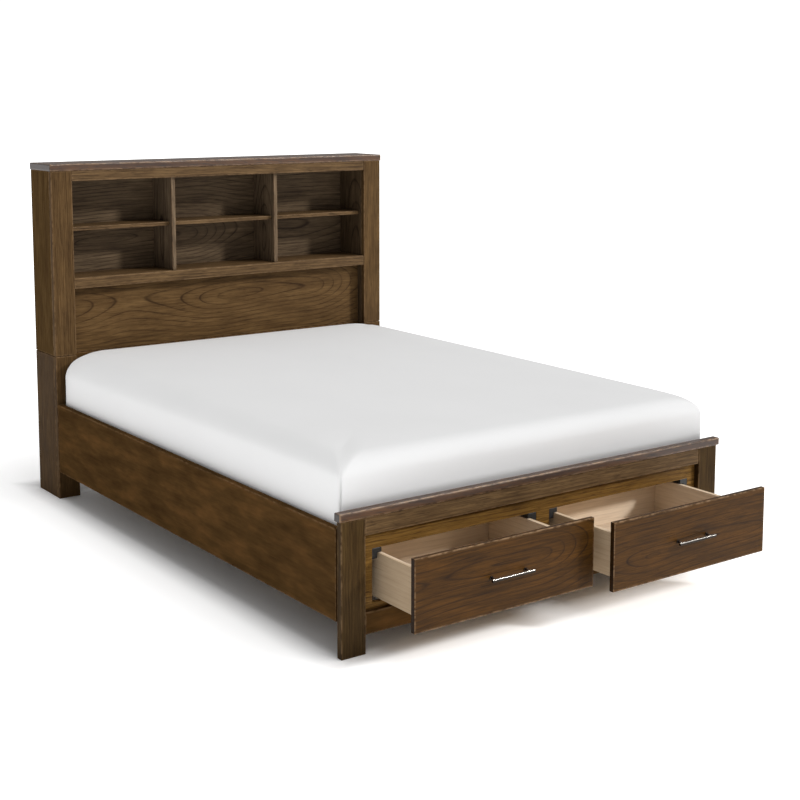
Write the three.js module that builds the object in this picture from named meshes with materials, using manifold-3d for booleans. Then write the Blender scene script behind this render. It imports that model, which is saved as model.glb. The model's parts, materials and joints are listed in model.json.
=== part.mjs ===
// A queen-size platform bed: a bookcase headboard, plain side rails, a slatted platform with its
// mattress, and a footboard that holds two drawers, both standing part-way open.
//
// Millimetres, +Z up. The foot of the bed faces -Y, the head faces +Y, and +X is on the right of
// someone who stands at the foot and looks at the bed. The origin is on the floor, under the
// middle of the frame, where the middle centre leg stands.
import * as THREE from "three";
import { mergeVertices } from "three/addons/utils/BufferGeometryUtils.js";
import Module from "manifold-3d";

// ---------------------------------------------------------------- driving dimensions

// Joints
const JOINT_GAP = 0.3; // between pieces that are glued, screwed or laid against each other
const RAIL_SETBACK = 2; // a face-frame rail lies this far behind the front of its posts

// The frame as a whole
const FRAME_LENGTH = 2150; // front of the foot posts to front of the headboard posts
const BED_WIDTH = 1650; // across the foot posts
const FOOT_HEIGHT = 459; // top of the footboard's cap
const HEAD_HEIGHT = 1418; // top of the headboard's cap

// Headboard
const HEAD_PROUD = 6; // the headboard is wider than the footboard by this much on each side
const HEAD_DEPTH = 217;
const HEAD_CAP_THICKNESS = 29;
const HEAD_CAP_SIDE_OVERHANG = 4;
const HEAD_CAP_FRONT_OVERHANG = 3;
const STILE_WIDTH = 93; // front face of an end post
const STILE_THICKNESS = 22;
const SIDE_PANEL_THICKNESS = 20;
const WALL_THICKNESS = 16; // inner wall of an end post
const HEAD_RAIL_THICKNESS = 18;
const HEAD_HEADER_HEIGHT = 43;
const MODULE_JOINT_HEIGHT = 611; // where the bookcase stands on the legs
const MODULE_JOINT_GAP = 2; // the visible shadow line of that joint
const SHELF_THICKNESS = 18; // long bottom shelf and the dividers
const SHELF_TOP = 936;
const LOWER_RAIL_HEIGHT = 44;
const MIDDLE_BAY_WIDTH = 502; // clear width between the two dividers
const MID_SHELF_THICKNESS = 16;
const MID_SHELF_SETBACK = 24; // behind the dividers' front edges
const BACK_PANEL_THICKNESS = 9;
const BACK_PANEL_INSET = 3;
const LEG_BACK_THICKNESS = 18;
const LOWER_PANEL_SETBACK = 52; // behind the front of the posts
const LOWER_PANEL_THICKNESS = 15;
const BRACE_BOTTOM = 200;

// Footboard
const FOOT_POST_WIDTH = 90;
const FOOT_POST_THICKNESS = 24;
const FOOT_CAP_THICKNESS = 26.7;
const FOOT_CAP_SIDE_OVERHANG = 9;
const FOOT_CAP_FRONT_OVERHANG = 6;
const FOOT_CAP_BACK_OVERHANG = 1;
const FOOT_RAIL_THICKNESS = 18;
const FOOT_HEADER_HEIGHT = 58;
const FOOT_BOTTOM_RAIL_HEIGHT = 70;
const FLOOR_CLEARANCE = 61; // under the bottom rail
const FACE_THICKNESS = 18; // recessed panel with the drawer openings
const FACE_STILE = 38; // panel left beside each opening, next to the post
const MULLION_WIDTH = 58; // panel left between the two openings
const HEADER_TO_OPENING = 52; // panel that shows between header rail and opening
const BOTTOM_RAIL_TO_OPENING = 19;

// Side rails and platform
const SIDE_RAIL_PROUD = 3; // beyond the foot posts
const SIDE_RAIL_THICKNESS = 24;
const SIDE_RAIL_BOTTOM = 116;
const MATTRESS_RECESS = 61; // rail top above the slats
const LEDGER_WIDTH = 24;
const LEDGER_HEIGHT = 32;
const SLAT_THICKNESS = 20;
const SLAT_WIDTH = 70;
const SLAT_COUNT = 14;
const SLAT_OVER_OPENING = 3;
const STRAP_WIDTH = 40;
const STRAP_THICKNESS = 1.5;
const BEAM_WIDTH = 40;
const BEAM_HEIGHT = 60;
const CENTRE_LEG_SIZE = 45;
const CENTRE_LEG_SPACING = 560;

// Drawers
const SLAB_THICKNESS = 17;
const SLAB_END_GAP = 13; // slab to post
const SLAB_MEETING_GAP = 8; // slab to slab
const SLAB_TOP_GAP = 13;
const SLAB_BOTTOM_GAP = 2;
const CLOSED_GAP = 1; // a shut slab stays this far off the face panel
const BOX_SIDE_CLEARANCE = 24;
const BOX_TOP_CLEARANCE = 18;
const BOX_BOTTOM_CLEARANCE = 8;
const BOX_DEPTH = 451;
const BOX_BOARD = 15;
const BOX_BASE_THICKNESS = 6;
const BOX_BASE_HEIGHT = 8; // underside of the base above the lower edge of the sides
const GROOVE_DEPTH = 6;
const BEHIND_BOX = 78; // free space behind a shut box
const LEFT_DRAWER_OPEN = 234; // how far each drawer stands open
const RIGHT_DRAWER_OPEN = 316;

// Drawer hardware
const TRACK_WIDTH = 44;
const TRACK_HEIGHT = 6.5;
const TRACK_SHEET = 1.2;
const TRACK_LIP = 9;
const RUNNER_FLANGE_WIDTH = 34;
const RUNNER_SHEET = 2;
const RUNNER_STEM_WIDTH = 10;
const RUNNER_PLAY = 0.8;
const GUIDE_WIDTH = 19;
const GUIDE_LENGTH = 42;
const GUIDE_LIP = 12; // reaches over the side of the box
const GUIDE_LIP_CLEARANCE = 2;
const GUIDE_HEIGHT = 34;
const PULL_LENGTH = 170;
const PULL_POST_SPACING = 136;
const PULL_SECTION = 9;
const PULL_STANDOFF = 26; // slab face to the middle of the bar
const PULL_POST_RADIUS = 5;
const PULL_POST_SIDES = 20;
const HOUSING_BOARD = 18;

// Mattress
const MATTRESS_THICKNESS = 278;
const MATTRESS_SIDE_GAP = 3;
const MATTRESS_END_GAP = 3;
const MATTRESS_TOP_RADIUS = 100;
const MATTRESS_END_RADIUS = 45;
const MATTRESS_ROUND_STEPS = 5;

// ---------------------------------------------------------------- places worked out from them

const FOOT = -FRAME_LENGTH / 2;
const HEAD = FRAME_LENGTH / 2;
const HEAD_REAR = HEAD + HEAD_DEPTH;

// Headboard
const headHalf = BED_WIDTH / 2 + HEAD_PROUD;
const headOpeningHalf = headHalf - STILE_WIDTH;
const headCapBottom = HEAD_HEIGHT - HEAD_CAP_THICKNESS;
const headOpeningTop = headCapBottom - HEAD_HEADER_HEIGHT;
const moduleBottom = MODULE_JOINT_HEIGHT + MODULE_JOINT_GAP / 2;
const legTop = MODULE_JOINT_HEIGHT - MODULE_JOINT_GAP / 2;
const headRailFront = HEAD + RAIL_SETBACK;
const headRailBack = headRailFront + HEAD_RAIL_THICKNESS;
const backPanelFront = HEAD_REAR - BACK_PANEL_INSET - BACK_PANEL_THICKNESS;
const midShelfTop = (SHELF_TOP + headOpeningTop + MID_SHELF_THICKNESS) / 2;
const dividerCentre = (MIDDLE_BAY_WIDTH + SHELF_THICKNESS) / 2;
const lowerPanelFront = HEAD + LOWER_PANEL_SETBACK;

// Footboard
const footHalf = BED_WIDTH / 2;
const footOpeningHalf = footHalf - FOOT_POST_WIDTH;
const footCapBottom = FOOT_HEIGHT - FOOT_CAP_THICKNESS;
const footHeaderBottom = footCapBottom - FOOT_HEADER_HEIGHT;
const footRailFront = FOOT + RAIL_SETBACK;
const footRailBack = footRailFront + FOOT_RAIL_THICKNESS;
const bottomRailTop = FLOOR_CLEARANCE + FOOT_BOTTOM_RAIL_HEIGHT;
const faceFront = footRailBack + JOINT_GAP;
const faceBack = faceFront + FACE_THICKNESS;
const openingInner = MULLION_WIDTH / 2;
const openingOuter = footOpeningHalf - FACE_STILE;
const openingTop = footHeaderBottom - HEADER_TO_OPENING;
const openingBottom = bottomRailTop + BOTTOM_RAIL_TO_OPENING;

// Platform
const slatBottom = openingTop + SLAT_OVER_OPENING;
const slatTop = slatBottom + SLAT_THICKNESS;
const railOuter = footHalf + SIDE_RAIL_PROUD;
const railInner = railOuter - SIDE_RAIL_THICKNESS;
const railTop = slatTop + MATTRESS_RECESS;
const supportTop = slatBottom - JOINT_GAP;
const mattressBottom = slatTop + STRAP_THICKNESS + JOINT_GAP;

// Drawers
const drawerCentre = (openingInner + openingOuter) / 2;
const boxHalf = (openingOuter - openingInner) / 2 - BOX_SIDE_CLEARANCE;
const boxBottom = openingBottom + BOX_BOTTOM_CLEARANCE;
const boxTop = openingTop - BOX_TOP_CLEARANCE;
const baseBottom = boxBottom + BOX_BASE_HEIGHT;
const baseTop = baseBottom + BOX_BASE_THICKNESS;
const slabTop = footHeaderBottom - SLAB_TOP_GAP;
const slabBottom = bottomRailTop + SLAB_BOTTOM_GAP;
const slabInner = SLAB_MEETING_GAP / 2;
const slabOuter = footOpeningHalf - SLAB_END_GAP;
const shutSlabBack = faceFront - CLOSED_GAP;
const rearRailFront = shutSlabBack + BOX_DEPTH + BEHIND_BOX;
const trackBottom = openingBottom + JOINT_GAP;

// ---------------------------------------------------------------- finishes

const finish = (color, roughness, metalness = 0) =>
  new THREE.MeshStandardMaterial({ color, roughness, metalness });

const WALNUT = finish(0x5b3f27, 0.5);
const DARK_WALNUT = finish(0x3e2a1a, 0.55);
const PALE_WOOD = finish(0xc4ad90, 0.7);
const STEEL = finish(0x9a9a98, 0.35, 1);
const BRONZE = finish(0x2f2823, 0.3, 1);
const NYLON = finish(0x161616, 0.5);
const TICKING = finish(0xe6e6e6, 0.9);

// ---------------------------------------------------------------- making pieces

const bed = new THREE.Group();
const wasm = await Module();
wasm.setup();

/** Adds a named piece to a group. */
function piece(group, name, geometry, material) {
  const mesh = new THREE.Mesh(geometry, material);
  mesh.name = name;
  group.add(mesh);
  return mesh;
}

/** A plain board that fills the given spans along X, Y and Z. */
function board(group, name, [x0, x1], [y0, y1], [z0, z1], material) {
  const mesh = piece(group, name, new THREE.BoxGeometry(x1 - x0, y1 - y0, z1 - z0), material);
  mesh.position.set((x0 + x1) / 2, (y0 + y1) / 2, (z0 + z1) / 2);
  return mesh;
}

/** A closed outline through the given points. */
function outline(points) {
  return new THREE.Shape(points.map(([u, v]) => new THREE.Vector2(u, v)));
}

/** A rectangular outline. */
function rectangle([u0, u1], [v0, v1]) {
  return outline([
    [u0, v0],
    [u1, v0],
    [u1, v1],
    [u0, v1],
  ]);
}

/** A moulding: a section drawn in X and Z, run along Y from y0 to y1. */
function alongY(section, [y0, y1]) {
  const geometry = new THREE.ExtrudeGeometry(section, { depth: y1 - y0, bevelEnabled: false });
  return geometry.rotateX(Math.PI / 2).translate(0, y1, 0);
}

/** A moulding: a section drawn in Y and Z, run along X from x0 to x1. */
function alongX(section, [x0, x1]) {
  const geometry = new THREE.ExtrudeGeometry(section, { depth: x1 - x0, bevelEnabled: false });
  return geometry.rotateX(Math.PI / 2).rotateZ(Math.PI / 2).translate(x0, 0, 0);
}

/** The same spans, mirrored to the other side of the bed. */
const mirrored = ([a, b], side) => (side > 0 ? [a, b] : [-b, -a]);

/** The left and the right copy of a piece: its name's ending and its side of the bed. */
const SIDES = [
  ["left", -1],
  ["right", 1],
];

/** A geometry as a solid that can be joined. */
function solid(geometry) {
  const bare = new THREE.BufferGeometry();
  bare.setAttribute("position", geometry.getAttribute("position"));
  bare.setIndex(geometry.index);
  const merged = mergeVertices(bare, 1e-4);
  return new wasm.Manifold(
    new wasm.Mesh({
      numProp: 3,
      vertProperties: merged.attributes.position.array,
      triVerts: new Uint32Array(merged.index.array),
    }),
  );
}

/** A solid as a geometry. */
function geometryOf(made) {
  const { vertProperties, triVerts } = made.getMesh();
  const geometry = new THREE.BufferGeometry();
  geometry.setAttribute("position", new THREE.BufferAttribute(vertProperties, 3));
  geometry.setIndex(new THREE.BufferAttribute(triVerts, 1));
  geometry.computeVertexNormals();
  return geometry;
}

/** Several overlapping geometries joined into one. */
function joined(geometries) {
  return geometryOf(geometries.map(solid).reduce((whole, next) => whole.add(next)));
}

/** A geometry with others cut out of it. */
function cutBy(geometry, tools) {
  return geometryOf(tools.map(solid).reduce((rest, tool) => rest.subtract(tool), solid(geometry)));
}

/** A box that fills the given spans, as a bare geometry. */
function block([x0, x1], [y0, y1], [z0, z1]) {
  const geometry = new THREE.BoxGeometry(x1 - x0, y1 - y0, z1 - z0);
  return geometry.translate((x0 + x1) / 2, (y0 + y1) / 2, (z0 + z1) / 2);
}

// ---------------------------------------------------------------- headboard

/** The end posts of the bookcase: front stile, outer side panel and inner wall. */
function bookcasePosts(group) {
  const height = [moduleBottom, headCapBottom - JOINT_GAP];
  const behindStile = HEAD + STILE_THICKNESS + JOINT_GAP;
  const wallDepth = [behindStile, backPanelFront - JOINT_GAP];
  for (const [hand, side] of SIDES) {
    const outer = mirrored([headHalf - SIDE_PANEL_THICKNESS, headHalf], side);
    const inner = mirrored([headOpeningHalf, headOpeningHalf + WALL_THICKNESS], side);
    const front = mirrored([headOpeningHalf, headHalf], side);
    board(group, `headboard_stile_${hand}`, front, [HEAD, HEAD + STILE_THICKNESS], height, WALNUT);
    board(group, `headboard_side_${hand}`, outer, [behindStile, HEAD_REAR], height, WALNUT);
    board(group, `headboard_wall_${hand}`, inner, wallDepth, height, DARK_WALNUT);
  }
}

/** The rails, shelves, dividers and panels that span between the two end posts. */
function bookcaseSpan(group) {
  const reach = headOpeningHalf - JOINT_GAP;
  const span = [-reach, reach];
  const railDepth = [headRailFront, headRailBack];
  const shelfDepth = [headRailBack + JOINT_GAP, backPanelFront - JOINT_GAP];
  const shelfUnderside = SHELF_TOP - SHELF_THICKNESS;
  const header = [headOpeningTop, headCapBottom - JOINT_GAP];
  const lowerRail = [SHELF_TOP - LOWER_RAIL_HEIGHT, SHELF_TOP];
  const backReach = headHalf - SIDE_PANEL_THICKNESS - JOINT_GAP;
  const backDepth = [backPanelFront, HEAD_REAR - BACK_PANEL_INSET];
  const backHeight = [moduleBottom, headCapBottom - JOINT_GAP];
  board(group, "headboard_header_rail", span, railDepth, header, WALNUT);
  board(group, "headboard_lower_rail", span, railDepth, lowerRail, WALNUT);
  board(group, "headboard_bottom_shelf", span, shelfDepth, [shelfUnderside, SHELF_TOP], WALNUT);
  board(group, "headboard_back_panel", [-backReach, backReach], backDepth, backHeight, DARK_WALNUT);
  board(
    group,
    "headboard_lower_panel",
    span,
    [lowerPanelFront, lowerPanelFront + LOWER_PANEL_THICKNESS],
    [moduleBottom, shelfUnderside - JOINT_GAP],
    WALNUT,
  );

  const dividerHeight = [SHELF_TOP + JOINT_GAP, headCapBottom - JOINT_GAP];
  for (const [hand, side] of SIDES) {
    const width = mirrored(
      [dividerCentre - SHELF_THICKNESS / 2, dividerCentre + SHELF_THICKNESS / 2],
      side,
    );
    board(group, `headboard_divider_${hand}`, width, shelfDepth, dividerHeight, DARK_WALNUT);
  }

  const midDepth = [headRailBack + MID_SHELF_SETBACK, backPanelFront - JOINT_GAP];
  const midHeight = [midShelfTop - MID_SHELF_THICKNESS, midShelfTop];
  const middle = MIDDLE_BAY_WIDTH / 2 - JOINT_GAP;
  const outerBay = [dividerCentre + SHELF_THICKNESS / 2 + JOINT_GAP, reach];
  board(group, "headboard_shelf_left", mirrored(outerBay, -1), midDepth, midHeight, WALNUT);
  board(group, "headboard_shelf_middle", [-middle, middle], midDepth, midHeight, WALNUT);
  board(group, "headboard_shelf_right", outerBay, midDepth, midHeight, WALNUT);
}

/** A hollow leg, glued up from four boards, with open ends, drawn in X and Y. */
function headLegSection(side) {
  const outside = mirrored([headOpeningHalf, headHalf], side);
  const inside = mirrored(
    [headOpeningHalf + WALL_THICKNESS, headHalf - SIDE_PANEL_THICKNESS],
    side,
  );
  const section = rectangle(outside, [HEAD, HEAD_REAR]);
  section.holes.push(rectangle(inside, [HEAD + STILE_THICKNESS, HEAD_REAR - LEG_BACK_THICKNESS]));
  return section;
}

/** The two legs that the bookcase stands on, and the brace between them. */
function headboardLegs(group) {
  for (const [hand, side] of SIDES) {
    const options = { depth: legTop, bevelEnabled: false };
    const leg = new THREE.ExtrudeGeometry(headLegSection(side), options);
    piece(group, `headboard_leg_${hand}`, leg, WALNUT);
  }
  const reach = headOpeningHalf - JOINT_GAP;
  const depth = [lowerPanelFront, lowerPanelFront + LOWER_PANEL_THICKNESS];
  board(group, "headboard_leg_brace", [-reach, reach], depth, [BRACE_BOTTOM, legTop], DARK_WALNUT);
}

function headboard() {
  const group = new THREE.Group();
  const capHalf = headHalf + HEAD_CAP_SIDE_OVERHANG;
  const capDepth = [HEAD - HEAD_CAP_FRONT_OVERHANG, HEAD_REAR];
  board(group, "headboard_cap", [-capHalf, capHalf], capDepth, [headCapBottom, HEAD_HEIGHT], WALNUT);
  bookcasePosts(group);
  bookcaseSpan(group);
  headboardLegs(group);
  return group;
}

// ---------------------------------------------------------------- footboard

/** The recessed panel with its two drawer openings. */
function facePanel() {
  const reach = footOpeningHalf - JOINT_GAP;
  const height = [FLOOR_CLEARANCE, footCapBottom - JOINT_GAP];
  const through = [faceFront - FACE_THICKNESS, faceBack + FACE_THICKNESS];
  const openings = SIDES.map(([, side]) =>
    block(mirrored([openingInner, openingOuter], side), through, [openingBottom, openingTop]),
  );
  return cutBy(block([-reach, reach], [faceFront, faceBack], height), openings);
}

function footboard() {
  const group = new THREE.Group();
  const capHalf = footHalf + FOOT_CAP_SIDE_OVERHANG;
  const postBack = FOOT + FOOT_POST_THICKNESS;
  const capDepth = [FOOT - FOOT_CAP_FRONT_OVERHANG, postBack + FOOT_CAP_BACK_OVERHANG];
  board(group, "footboard_cap", [-capHalf, capHalf], capDepth, [footCapBottom, FOOT_HEIGHT], WALNUT);
  for (const [hand, side] of SIDES) {
    const width = mirrored([footOpeningHalf, footHalf], side);
    board(group, `footboard_post_${hand}`, width, [FOOT, postBack], [0, footCapBottom - JOINT_GAP], WALNUT);
  }
  const reach = footOpeningHalf - JOINT_GAP;
  const railDepth = [footRailFront, footRailBack];
  const header = [footHeaderBottom, footCapBottom - JOINT_GAP];
  board(group, "footboard_header_rail", [-reach, reach], railDepth, header, WALNUT);
  const bottomRail = [FLOOR_CLEARANCE, bottomRailTop];
  board(group, "footboard_bottom_rail", [-reach, reach], railDepth, bottomRail, DARK_WALNUT);
  piece(group, "footboard_face_panel", facePanel(), WALNUT);
  return group;
}

// ---------------------------------------------------------------- side rails and platform

function sideRails() {
  const group = new THREE.Group();
  const length = [FOOT + FOOT_POST_THICKNESS + JOINT_GAP, HEAD - JOINT_GAP];
  const ledgerBottom = supportTop - LEDGER_HEIGHT;
  for (const [hand, side] of SIDES) {
    const rail = mirrored([railInner, railOuter], side);
    const ledger = mirrored([railInner - JOINT_GAP - LEDGER_WIDTH, railInner - JOINT_GAP], side);
    board(group, `side_rail_${hand}`, rail, length, [SIDE_RAIL_BOTTOM, railTop], DARK_WALNUT);
    board(group, `slat_ledger_${hand}`, ledger, length, [ledgerBottom, supportTop], PALE_WOOD);
  }
  return group;
}

/** The slats, stapled to three webbing straps that keep them apart. */
function slatMat() {
  const reach = railInner - JOINT_GAP;
  const first = faceBack + JOINT_GAP;
  const last = HEAD - JOINT_GAP;
  const pitch = (last - first - SLAT_WIDTH) / (SLAT_COUNT - 1);
  const parts = [];
  for (let i = 0; i < SLAT_COUNT; i++) {
    const start = first + i * pitch;
    parts.push(block([-reach, reach], [start, start + SLAT_WIDTH], [slatBottom, slatTop]));
  }
  for (const place of [-1, 0, 1]) {
    // A strap sinks a little into the slats, so that slats and straps are one piece.
    const middle = (place * reach * 2) / 3;
    const width = [middle - STRAP_WIDTH / 2, middle + STRAP_WIDTH / 2];
    parts.push(block(width, [first, last], [slatTop - STRAP_THICKNESS, slatTop + STRAP_THICKNESS]));
  }
  return joined(parts);
}

function platform() {
  const group = new THREE.Group();
  const beamBottom = supportTop - BEAM_HEIGHT;
  const half = BEAM_WIDTH / 2;
  const beamLength = [faceBack + JOINT_GAP, lowerPanelFront - JOINT_GAP];
  board(group, "center_beam", [-half, half], beamLength, [beamBottom, supportTop], PALE_WOOD);
  const legHalf = CENTRE_LEG_SIZE / 2;
  const places = [
    ["center_leg_middle", 0],
    ["center_leg_head", CENTRE_LEG_SPACING],
  ];
  for (const [name, y] of places) {
    const depth = [y - legHalf, y + legHalf];
    board(group, name, [-legHalf, legHalf], depth, [0, beamBottom - JOINT_GAP], PALE_WOOD);
  }
  piece(group, "slat_mat", slatMat(), PALE_WOOD);
  return group;
}

/** The mattress: its section has round upper corners, and both ends are rounded over. */
function mattress() {
  const group = new THREE.Group();
  const half = railInner - MATTRESS_SIDE_GAP - MATTRESS_END_RADIUS;
  const height = MATTRESS_THICKNESS - 2 * MATTRESS_END_RADIUS;
  const round = MATTRESS_TOP_RADIUS - MATTRESS_END_RADIUS;
  const section = new THREE.Shape();
  section.moveTo(-half, 0);
  section.lineTo(half, 0);
  section.lineTo(half, height - round);
  section.absarc(half - round, height - round, round, 0, Math.PI / 2);
  section.lineTo(-half + round, height);
  section.absarc(-half + round, height - round, round, Math.PI / 2, Math.PI);
  section.lineTo(-half, 0);
  const start = faceBack + MATTRESS_END_GAP;
  const end = HEAD - MATTRESS_END_GAP;
  const geometry = new THREE.ExtrudeGeometry(section, {
    depth: end - start - 2 * MATTRESS_END_RADIUS,
    curveSegments: MATTRESS_ROUND_STEPS,
    bevelThickness: MATTRESS_END_RADIUS,
    bevelSize: MATTRESS_END_RADIUS,
    bevelSegments: MATTRESS_ROUND_STEPS,
  });
  geometry
    .rotateX(Math.PI / 2)
    .translate(0, end - MATTRESS_END_RADIUS, mattressBottom + MATTRESS_END_RADIUS);
  piece(group, "mattress", geometry, TICKING);
  return group;
}

// ---------------------------------------------------------------- drawer housing

/** A steel channel with inward lips, drawn in X and Z about the drawer's middle. */
function trackSection() {
  const half = TRACK_WIDTH / 2;
  const lip = half - TRACK_LIP;
  const floor = trackBottom + TRACK_SHEET;
  const top = trackBottom + TRACK_HEIGHT;
  return outline([
    [-half, trackBottom],
    [half, trackBottom],
    [half, top],
    [lip, top],
    [lip, top - TRACK_SHEET],
    [half - TRACK_SHEET, top - TRACK_SHEET],
    [half - TRACK_SHEET, floor],
    [-half + TRACK_SHEET, floor],
    [-half + TRACK_SHEET, top - TRACK_SHEET],
    [-lip, top - TRACK_SHEET],
    [-lip, top],
    [-half, top],
  ]);
}

/** A corner guide: it fills the gap beside the box and reaches over the box's side. */
function guideSection(towardsMiddle) {
  const wall = boxHalf + BOX_SIDE_CLEARANCE - JOINT_GAP;
  const face = wall - GUIDE_WIDTH;
  const top = openingTop - JOINT_GAP;
  const lipBottom = boxTop + GUIDE_LIP_CLEARANCE;
  const points = [
    [wall, top - GUIDE_HEIGHT],
    [wall, top],
    [boxHalf - GUIDE_LIP, top],
    [boxHalf - GUIDE_LIP, lipBottom],
    [face, lipBottom],
    [face, top - GUIDE_HEIGHT],
  ];
  return outline(towardsMiddle > 0 ? points : points.map(([x, z]) => [-x, z]).reverse());
}

function housing() {
  const group = new THREE.Group();
  const half = HOUSING_BOARD / 2;
  const beamBottom = supportTop - BEAM_HEIGHT;
  const height = [SIDE_RAIL_BOTTOM, beamBottom - JOINT_GAP];
  const partitionLength = [faceBack + JOINT_GAP, rearRailFront - JOINT_GAP];
  const reach = railInner - JOINT_GAP;
  const rearDepth = [rearRailFront, rearRailFront + HOUSING_BOARD];
  board(group, "drawer_partition", [-half, half], partitionLength, height, PALE_WOOD);
  board(group, "drawer_rear_rail", [-reach, reach], rearDepth, height, PALE_WOOD);
  const trackLength = [faceFront + JOINT_GAP, rearRailFront - JOINT_GAP];
  for (const [hand, side] of SIDES) {
    const bay = new THREE.Group();
    bay.position.x = side * drawerCentre;
    piece(bay, `drawer_track_${hand}`, alongY(trackSection(), trackLength), STEEL);
    const guideLength = [faceFront + JOINT_GAP, faceFront + GUIDE_LENGTH];
    for (const [place, towards] of [["inner", -side], ["outer", side]]) {
      const guide = alongY(guideSection(towards), guideLength);
      piece(bay, `corner_guide_${hand}_${place}`, guide, NYLON);
    }
    group.add(bay);
  }
  return group;
}

// ---------------------------------------------------------------- drawers

/** A side of the box, with the groove that holds the base, drawn about the box's middle. */
function boxSideSection(side) {
  const groove = boxHalf - BOX_BOARD + GROOVE_DEPTH;
  const inner = boxHalf - BOX_BOARD;
  const points = [
    [boxHalf, boxBottom],
    [boxHalf, boxTop],
    [inner, boxTop],
    [inner, baseTop + JOINT_GAP],
    [groove, baseTop + JOINT_GAP],
    [groove, baseBottom - JOINT_GAP],
    [inner, baseBottom - JOINT_GAP],
    [inner, boxBottom],
  ];
  return outline(side > 0 ? points : points.map(([x, z]) => [-x, z]).reverse());
}

/** The inner front of the box, grooved for the base, drawn in Y and Z behind the slab. */
function innerFrontSection(front) {
  const back = front + BOX_BOARD;
  const groove = back - GROOVE_DEPTH;
  return outline([
    [front, boxBottom],
    [back, boxBottom],
    [back, baseBottom - JOINT_GAP],
    [groove, baseBottom - JOINT_GAP],
    [groove, baseTop + JOINT_GAP],
    [back, baseTop + JOINT_GAP],
    [back, boxTop],
    [front, boxTop],
  ]);
}

/** The steel runner under the base: a flange held by the track's lips, and a stem. */
function runnerSection() {
  const flange = RUNNER_FLANGE_WIDTH / 2;
  const stem = RUNNER_STEM_WIDTH / 2;
  const bottom = trackBottom + TRACK_SHEET + RUNNER_PLAY;
  const shoulder = bottom + RUNNER_SHEET;
  const top = baseBottom - JOINT_GAP;
  return outline([
    [-flange, bottom],
    [flange, bottom],
    [flange, shoulder],
    [stem, shoulder],
    [stem, top],
    [-stem, top],
    [-stem, shoulder],
    [-flange, shoulder],
  ]);
}

/** A square bar on two round posts, centred on X and Z, with the slab's face at y = 0. */
function barPull() {
  const bar = new THREE.BoxGeometry(PULL_LENGTH, PULL_SECTION, PULL_SECTION);
  bar.translate(0, -PULL_STANDOFF, 0);
  const parts = [bar];
  for (const side of [-1, 1]) {
    const post = new THREE.CylinderGeometry(
      PULL_POST_RADIUS,
      PULL_POST_RADIUS,
      PULL_STANDOFF - JOINT_GAP,
      PULL_POST_SIDES,
    );
    const middle = -(PULL_STANDOFF + JOINT_GAP) / 2;
    parts.push(post.translate((side * PULL_POST_SPACING) / 2, middle, 0));
  }
  return joined(parts);
}

/** One drawer, built shut about its own middle and then drawn open. */
function drawer(hand, side, open) {
  const group = new THREE.Group();
  const name = (what) => `drawer_${hand}_${what}`;
  const slabFront = shutSlabBack - SLAB_THICKNESS;
  const boxFront = shutSlabBack + JOINT_GAP;
  const boxBack = shutSlabBack + BOX_DEPTH;
  const between = boxHalf - BOX_BOARD - JOINT_GAP;
  const baseReach = boxHalf - BOX_BOARD + GROOVE_DEPTH - JOINT_GAP;
  const baseFront = boxFront + BOX_BOARD - GROOVE_DEPTH + JOINT_GAP;
  const slab = mirrored([slabInner - drawerCentre, slabOuter - drawerCentre], side);
  const slabDepth = [slabFront, shutSlabBack];
  board(group, name("front"), slab, slabDepth, [slabBottom, slabTop], WALNUT);
  const innerFront = alongX(innerFrontSection(boxFront), [-between, between]);
  piece(group, name("inner_front"), innerFront, PALE_WOOD);
  for (const [which, edge] of SIDES) {
    const length = [boxFront, boxBack];
    piece(group, name(`side_${which}`), alongY(boxSideSection(edge), length), PALE_WOOD);
  }
  const backDepth = [boxBack - BOX_BOARD, boxBack];
  board(group, name("back"), [-between, between], backDepth, [baseTop + JOINT_GAP, boxTop], PALE_WOOD);
  const baseDepth = [baseFront, boxBack];
  board(group, name("base"), [-baseReach, baseReach], baseDepth, [baseBottom, baseTop], PALE_WOOD);
  const runnerLength = [boxFront + BOX_BOARD + JOINT_GAP, boxBack];
  piece(group, name("runner"), alongY(runnerSection(), runnerLength), STEEL);
  const pull = piece(group, name("pull"), barPull(), BRONZE);
  const slabCentre = (slab[0] + slab[1]) / 2;
  pull.position.set(slabCentre, slabFront, (slabBottom + slabTop) / 2);
  group.position.set(side * drawerCentre, -open, 0);
  return group;
}

// ---------------------------------------------------------------- the whole bed

bed.add(
  headboard(),
  footboard(),
  sideRails(),
  platform(),
  mattress(),
  housing(),
  drawer("left", -1, LEFT_DRAWER_OPEN),
  drawer("right", 1, RIGHT_DRAWER_OPEN),
);

export default bed;
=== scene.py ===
# %% [markdown]
# # A queen platform bed with a bookcase headboard and two footboard drawers
#
# The bed is cabinet work: boards and panels of stained wood, pale drawer boxes on a centre
# track, and a smooth white mattress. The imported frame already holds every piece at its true
# size and place. This lesson gives those pieces what a cabinetmaker's hands and finish leave
# behind: edges eased with sandpaper, grain that runs the way each board was cut, pores filled
# with dark stain, and lacquer that catches the light.

# %% Load the frame
import json
import math
import zlib

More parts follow.
